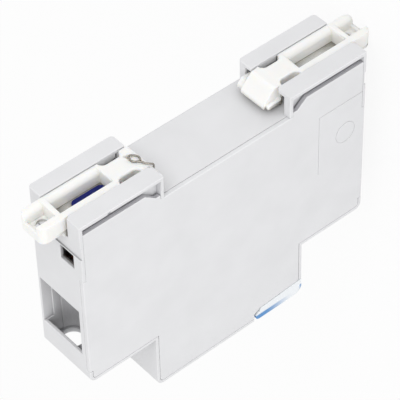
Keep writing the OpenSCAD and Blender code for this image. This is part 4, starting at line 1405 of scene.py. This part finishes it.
@dataclass
class ToggleSwitch:
    """The toggle with its grip ribs and marks, its axle and its return coil."""

    bench: Workbench
    axis: Pair = (-51.5, 4.0)
    drum_radius: float = 9.3
    handle_reach: float = 15.0
    handle_half: float = 1.5
    tilt: float = 30.0
    rib_count: int = 4
    rib_radius: float = 0.22
    rib_half_width: float = 2.7
    ribs_from_drum: float = 2.0
    ribs_from_tip: float = 1.5
    coil_start: float = 3.45
    coil_length: float = 2.55
    coil_radius: float = 1.6
    coil_turns: float = 3.0
    coil_wire: float = 0.2
    mark_turn: float = 38.0
    mark_half: float = 0.85
    ring_points: int = 32
    stroke_steps: int = 8

    def on_drum(self, turn: float, across: float, up: float, out: float) -> Vector:
        """Point on the drum's face, as the toggle rests.

        Args:
            turn: Angle from the handle, in degrees.
            across: Distance along the axis.
            up: Distance round the drum.
            out: Height above the drum's face.

        Returns:
            The point, in millimetres.
        """
        angle = math.radians(turn - self.tilt) + up / self.drum_radius
        radius = self.drum_radius + out
        ahead = self.axis[0] - radius * math.cos(angle)
        return Vector((across, ahead, self.axis[1] + radius * math.sin(angle)))

    def marks(self) -> None:
        """Print a ring above the handle and a stroke below it, for off and on."""
        half = self.mark_half
        turns = [math.tau * i / self.ring_points for i in range(self.ring_points)]
        ring = [(half * math.cos(turn), half * math.sin(turn)) for turn in turns]
        stroke = [(0.0, half * (2 * i / self.stroke_steps - 1.0)) for i in range(self.stroke_steps + 1)]
        above = partial(self.on_drum, self.mark_turn)
        below = partial(self.on_drum, -self.mark_turn)
        self.bench.stamp("toggle_off_mark", Mark([ring], closed=True), above, Body.TOGGLE, MARK_WHITE)
        self.bench.stamp("toggle_on_mark", Mark([stroke]), below, Body.TOGGLE, MARK_WHITE)

    def on_handle(self, reach: float, height: float) -> Vector:
        """Point in the handle's own plane, as the toggle rests.

        Args:
            reach: Distance from the axis along the handle.
            height: Height above the handle's middle.

        Returns:
            The point, in millimetres, at the middle of the width.
        """
        angle = math.radians(self.tilt)
        along = Vector((0.0, -math.cos(angle), -math.sin(angle)))
        across = Vector((0.0, -math.sin(angle), math.cos(angle)))
        return Vector((0.0, *self.axis)) + along * reach + across * height

    def build(self) -> None:
        """Dress the toggle and its pin, and make the ribs, the coil and the marks."""
        self.bench.dress("toggle_lever", Body.TOGGLE, BLACK_MOULDING)
        self.bench.dress("toggle_pin", Body.CASE, DRAWN_STEEL, Edge.PUNCHED)
        for side, height in (("upper", self.handle_half), ("lower", -self.handle_half)):
            ends = (self.on_handle(self.drum_radius + self.ribs_from_drum, height),
                    self.on_handle(self.handle_reach - self.ribs_from_tip, height))
            row = self.bench.ribs.row(f"toggle_grip_ribs_{side}", ends, self.rib_count,
                                      self.rib_half_width, self.rib_radius, BLACK_MOULDING)
            self.bench.settle(row, Body.TOGGLE, BLACK_MOULDING)
        coil = Coil((self.coil_start, *self.axis), self.coil_radius, self.coil_length, self.coil_turns,
                    self.coil_wire, Facing.RIGHT)
        self.bench.wind("toggle_spring_wound", coil, Body.CASE, DRAWN_STEEL, "toggle_spring")
        self.marks()


@dataclass
class ContactSet:
    """The contact carrier with its blades and tips, and the contacts fixed in the case."""

    bench: Workbench

    def build(self) -> None:
        """Dress the contacts, the carrier, its axle and the arc plates."""
        self.bench.dress("contact_carrier", Body.CARRIER, CARRIER_GREY)
        for node in ("line_blade", "neutral_blade"):
            self.bench.dress(node, Body.CARRIER, COPPER, Edge.PUNCHED)
        self.bench.dress("moving_contact_tips", Body.CARRIER, SILVER, Edge.CRISP)
        self.bench.dress("fixed_contact_tips", Body.CASE, SILVER, Edge.CRISP)
        for node in ("line_fixed_contact", "neutral_fixed_contact", "pivot_lugs"):
            self.bench.dress(node, Body.CASE, COPPER, Edge.PUNCHED)
        self.bench.dress("carrier_pin", Body.CASE, DRAWN_STEEL, Edge.PUNCHED)
        self.bench.dress("arc_plates", Body.CASE, DRAWN_STEEL, Edge.PUNCHED)


@dataclass
class SensingCore:
    """The residual current transformer: its core, its winding and the two conductors through it."""

    bench: Workbench
    centre: Pair = (0.2, -12.2)
    core_radii: Pair = (3.7, 5.5)
    core_height: Pair = (-22.0, -16.5)
    wire_radius: float = 0.3
    wire_gap: float = 0.05
    turns: int = 20
    steps: int = 16
    squareness: float = 0.28
    winding_rings: int = 2
    conductor_radius: float = 1.1
    conductor_aside: float = 1.3
    conductor_rings: int = 4
    strap_aside: float = 3.65
    lug_aside: float = 5.6

    def section(self, share: float) -> Pair:
        """Point of a turn's rounded path about the core's section.

        Args:
            share: Share of the turn, from 0 to 1.

        Returns:
            Distance from the core's axis, and height.
        """
        off = self.wire_radius + self.wire_gap
        half_width = (self.core_radii[1] - self.core_radii[0]) / 2 + off
        half_height = (self.core_height[1] - self.core_height[0]) / 2 + off
        angle = share * math.tau
        cosine = math.cos(angle)
        sine = math.sin(angle)
        across = math.copysign(abs(cosine) ** self.squareness, cosine) * half_width
        up = math.copysign(abs(sine) ** self.squareness, sine) * half_height
        return sum(self.core_radii) / 2 + across, sum(self.core_height) / 2 + up

    def winding_route(self) -> list[Point]:
        """Points of the winding's wire, turn after turn round the core."""
        used = (self.turns - 1) * self.steps
        route = []
        for i in range(used + 1):
            radius, height = self.section((i % self.steps) / self.steps)
            angle = math.tau * i / (self.turns * self.steps)
            route.append((self.centre[0] + radius * math.cos(angle),
                          self.centre[1] + radius * math.sin(angle), height))
        return route

    def conductor_route(self, side: int) -> list[Point]:
        """Points of one conductor, from its strap through the core to its lug.

        Args:
            side: 1 for the line conductor, -1 for the neutral one.

        Returns:
            The points, in millimetres.
        """
        at_strap = self.strap_aside * side
        in_core = self.centre[0] + self.conductor_aside * side
        at_lug = self.lug_aside * side
        return [
            (at_strap, -33.6, -31.6),
            (at_strap, -33.6, -31.0),
            (at_strap, -33.6, -30.4),
            (3.4 * side, -31.4, -29.2),
            (2.2 * side, -22.0, -29.0),
            (in_core, -15.4, -28.15),
            (in_core, -12.8, -25.65),
            (in_core, -12.2, -21.0),
            (in_core, -12.2, -14.5),
            (2.4 * side, -13.5, -10.4),
            (5.2 * side, -18.0, -5.8),
            (at_lug, -23.6, -3.0),
            (at_lug, -26.0, -0.6),
            (at_lug, -26.0, 0.2),
            (at_lug, -26.0, 0.9),
        ]

    def build(self) -> None:
        """Dress the core, and make the winding and the conductors."""
        self.bench.dress("toroid_core", Body.CASE, CORE_GREY)
        wires = self.bench.wires
        winding = wires.along("toroid_winding_wound", self.winding_route(), self.wire_radius, WIRE_ENAMEL,
                              self.winding_rings)
        self.bench.settle(winding, Body.CASE, WIRE_ENAMEL, "toroid_winding")
        leads = (("line_conductor", 1, BROWN_SLEEVE), ("neutral_conductor", -1, BLUE_SLEEVE))
        for node, side, finish in leads:
            route = self.conductor_route(side)
            lead = wires.along(f"{node}_laid", route, self.conductor_radius, finish, self.conductor_rings)
            self.bench.settle(lead, Body.CASE, finish, node)


@dataclass
class Terminals:
    """The two lower terminals: straps, cages and screws with their threads."""

    bench: Workbench
    pole: float = 3.65
    screw_height: float = -36.7
    thread_start: float = -39.9
    thread_length: float = 5.3
    thread_pitch: float = 0.6
    thread_radius: float = 1.66
    thread_wire: float = 0.14

    def build(self) -> None:
        """Dress both terminals and cut a thread on each screw."""
        sides = (
            ("left", -1, Body.LEFT_SCREW, Body.LEFT_CAGE),
            ("right", 1, Body.RIGHT_SCREW, Body.RIGHT_CAGE),
        )
        for name, side, screw, cage in sides:
            self.bench.dress(f"{name}_terminal_strap", Body.CASE, COPPER, Edge.PUNCHED)
            self.bench.dress(f"{name}_terminal_cage", cage, BRASS, Edge.CRISP)
            self.bench.dress(f"{name}_terminal_screw", screw, SCREW_STEEL, Edge.CRISP)
            thread = Coil(
                (self.pole * side, self.thread_start, self.screw_height), self.thread_radius,
                self.thread_length, self.thread_length / self.thread_pitch, self.thread_wire, Facing.REAR)
            self.bench.wind(f"{name}_screw_thread", thread, screw, SCREW_STEEL)


@dataclass
class TestCircuit:
    """The test button with its coil spring and contact leaf, and the test resistor."""

    bench: Workbench
    spring: Coil = Coil(base=(0.0, -56.88, 16.2), radius=1.6, length=4.46, turns=4.0, wire=0.22,
                        facing=Facing.REAR, even=0.7)
    shelf: float = -52.2
    travel: float = 1.4
    face: float = -60.9
    letter_half: float = 0.9
    letter_stroke: float = 0.4

    def on_face(self, across: float, up: float, out: float) -> Vector:
        """Point on the button's face, in millimetres."""
        return Vector((across, self.face - out, self.spring.base[2] + up))

    def build(self) -> None:
        """Dress the button, its letter, the leaf and the resistor, and make the spring."""
        self.bench.dress("test_button", Body.BUTTON, BUTTON_YELLOW)
        half = self.letter_half
        strokes = [[(-half, half), (half, half)], [(0.0, half), (0.0, -half)]]
        letter = Mark(strokes, width=self.letter_stroke)
        self.bench.stamp("test_button_mark", letter, self.on_face, Body.BUTTON, MARK_DARK)
        self.bench.dress("test_contact_leaf", Body.CASE, BRASS, Edge.PUNCHED)
        self.bench.dress("test_resistor", Body.CASE, RESISTOR_TAN)
        coil = self.spring
        spring = self.bench.wind("test_button_spring_wound", coil, Body.CASE, DRAWN_STEEL,
                                 "test_button_spring")
        keep = coil.kept(self.travel)
        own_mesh(spring)


@dataclass
class ControlBoard:
    """The circuit board and the parts soldered to it."""

    bench: Workbench

    def build(self) -> None:
        """Dress the board and its parts."""
        self.bench.dress("circuit_board", Body.CASE, BOARD_GREEN, Edge.PUNCHED)
        self.bench.dress("board_capacitor", Body.CASE, CAN_BLUE)
        self.bench.dress("board_chip", Body.CASE, BLACK_MOULDING, Edge.CRISP)
        self.bench.dress("varistor", Body.CASE, VARISTOR_BLUE)


@dataclass
class TripRelay:
    """The trip relay: housing, coil, plunger, lever and the lever's pin."""

    bench: Workbench
    centre: Pair = (0.6, -36.3)
    winding_height: Pair = (-15.7, -8.3)
    winding_radius: float = 3.4
    wire_radius: float = 0.14
    turns: int = 22

    def build(self) -> None:
        """Dress the relay and wind its coil."""
        self.bench.dress("trip_relay_housing", Body.CASE, BLACK_MOULDING)
        self.bench.dress("trip_relay_coil", Body.CASE, WIRE_ENAMEL, Edge.CRISP)
        self.bench.dress("trip_plunger", Body.PLUNGER, DRAWN_STEEL, Edge.CRISP)
        self.bench.dress("trip_lever", Body.TRIP_LEVER, LEVER_IVORY)
        self.bench.dress("trip_lever_pin", Body.CASE, DRAWN_STEEL, Edge.PUNCHED)
        low, high = self.winding_height
        turns = Coil((*self.centre, low), self.winding_radius, high - low, self.turns, self.wire_radius)
        self.bench.wind("trip_relay_turns", turns, Body.CASE, WIRE_ENAMEL)


@dataclass(frozen=True)
class Lamp:
    """A soft square lamp that points at the object, with its place and side in metres and its watts."""

    name: str
    place: Point
    side: float
    power: float

    def hang(self) -> None:
        """Put the lamp into the scene."""
        data = bpy.data.lights.new(self.name, "AREA")
        data.size = self.side
        data.energy = self.power
        lamp = bpy.data.objects.new(self.name, data)
        lamp.location = self.place
        lamp.rotation_euler = (-Vector(self.place)).to_track_quat("-Z", "Y").to_euler()
        bpy.context.scene.collection.objects.link(lamp)


@dataclass
class Studio:
    """Camera, floor, lamps and world, in metres, with the lens and the sensor in millimetres."""

    camera_place: Point = (0.2860, 0.3602, 0.2377)
    camera_right: Point = (0.6523, -0.0193, -0.7577)
    camera_up: Point = (-0.5330, 0.6991, -0.4766)
    camera_sight: Pair = (0.01, 20.0)
    lens: float = 211.1
    sensor: float = 36.0
    floor_half: float = 2.5
    floor_colour: Linear = (0.9, 0.9, 0.9, 1.0)
    floor_show: float = 0.9
    sky: float = 0.8
    lamps: Sequence[Lamp] = (
        Lamp("key_lamp", (0.25, 0.75, 0.55), 0.5, 2.0),
        Lamp("fill_lamp", (0.7, 0.1, 0.3), 0.6, 0.9),
    )

    def build(self, lowest: float) -> None:
        """Set the stage.

        Args:
            lowest: Height of the object's lowest point.
        """
        self.camera()
        self.world()
        self.floor(lowest)
        for lamp in self.lamps:
            lamp.hang()
        bpy.context.scene.view_settings.view_transform = "Standard"

    def camera(self) -> None:
        """Put the camera where the photograph was taken from."""
        data = bpy.data.cameras.new("view_camera")
        data.lens = self.lens
        data.sensor_width = self.sensor
        data.clip_start, data.clip_end = self.camera_sight
        camera = bpy.data.objects.new("view_camera", data)
        right = Vector(self.camera_right).normalized()
        up = Vector(self.camera_up).normalized()
        turn = Matrix((right, up, right.cross(up))).transposed().to_4x4()
        camera.matrix_world = Matrix.Translation(self.camera_place) @ turn
        bpy.context.scene.collection.objects.link(camera)
        bpy.context.scene.camera = camera

    def world(self) -> None:
        """Even sky light, shown as white to the camera, in reflections and through clear pieces."""
        world = bpy.data.worlds.new("studio_world")
        world.use_nodes = True
        bpy.context.scene.world = world
        tree = NodeTree(world.node_tree)
        rays = tree.add("ShaderNodeLightPath").outputs
        seen = tree.math("MAXIMUM", rays["Is Camera Ray"], rays["Is Glossy Ray"])
        shown = tree.math("MAXIMUM", seen, rays["Is Transmission Ray"])
        level = tree.add("ShaderNodeMapRange", {"Value": shown, "To Min": self.sky, "To Max": 1.0})
        background = tree.nodes["Background"].inputs
        tree.feed(background["Color"], WHITE)
        tree.feed(background["Strength"], level.outputs["Result"])

    def floor(self, lowest: float) -> None:
        """Lay a pale floor that keeps a faint shadow.

        Args:
            lowest: Height of the floor.
        """
        half = self.floor_half
        mesh = bpy.data.meshes.new("floor")
        corners = [(-half, -half, lowest), (half, -half, lowest), (half, half, lowest), (-half, half, lowest)]
        mesh.from_pydata(corners, [], [(0, 1, 2, 3)])
        floor = link_piece("floor", mesh)
        material = bpy.data.materials.new("pale_floor")
        material.use_nodes = True
        tree = NodeTree(material.node_tree)
        tree.nodes.remove(tree.nodes["Principled BSDF"])
        plain = tree.add("ShaderNodeBsdfDiffuse", {"Color": self.floor_colour})
        white = tree.add("ShaderNodeEmission")
        rays = tree.add("ShaderNodeLightPath").outputs
        seen = tree.math("MAXIMUM", rays["Is Camera Ray"], rays["Is Transmission Ray"])
        mixed = tree.add("ShaderNodeMixShader", {
            "Fac": tree.math("MULTIPLY", seen, self.floor_show), 1: plain.outputs[0], 2: white.outputs[0]})
        tree.feed(tree.nodes["Material Output"].inputs["Surface"], mixed.outputs[0])
        mesh.materials.append(material)
        floor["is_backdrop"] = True


def main() -> None:
    """Load the frame, take its bounds, dress every sub-assembly and set the stage at the frame's lowest
    point.
    """
    logging.basicConfig(level=logging.INFO, format="%(name)s: %(message)s")
    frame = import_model()
    cad_box = [list(corner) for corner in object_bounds()]
    bench = Workbench(frame["nodes"])
    parts = (Housing, RailClips, LabelFlap, ToggleSwitch, ContactSet, SensingCore, Terminals, TestCircuit,
             ControlBoard, TripRelay)
    for part in parts:
        part(bench).build()
    Studio().build(cad_box[0][2])
    LOG.info("%d pieces made", len(bench.made))


if __name__ == "__main__":
    main()
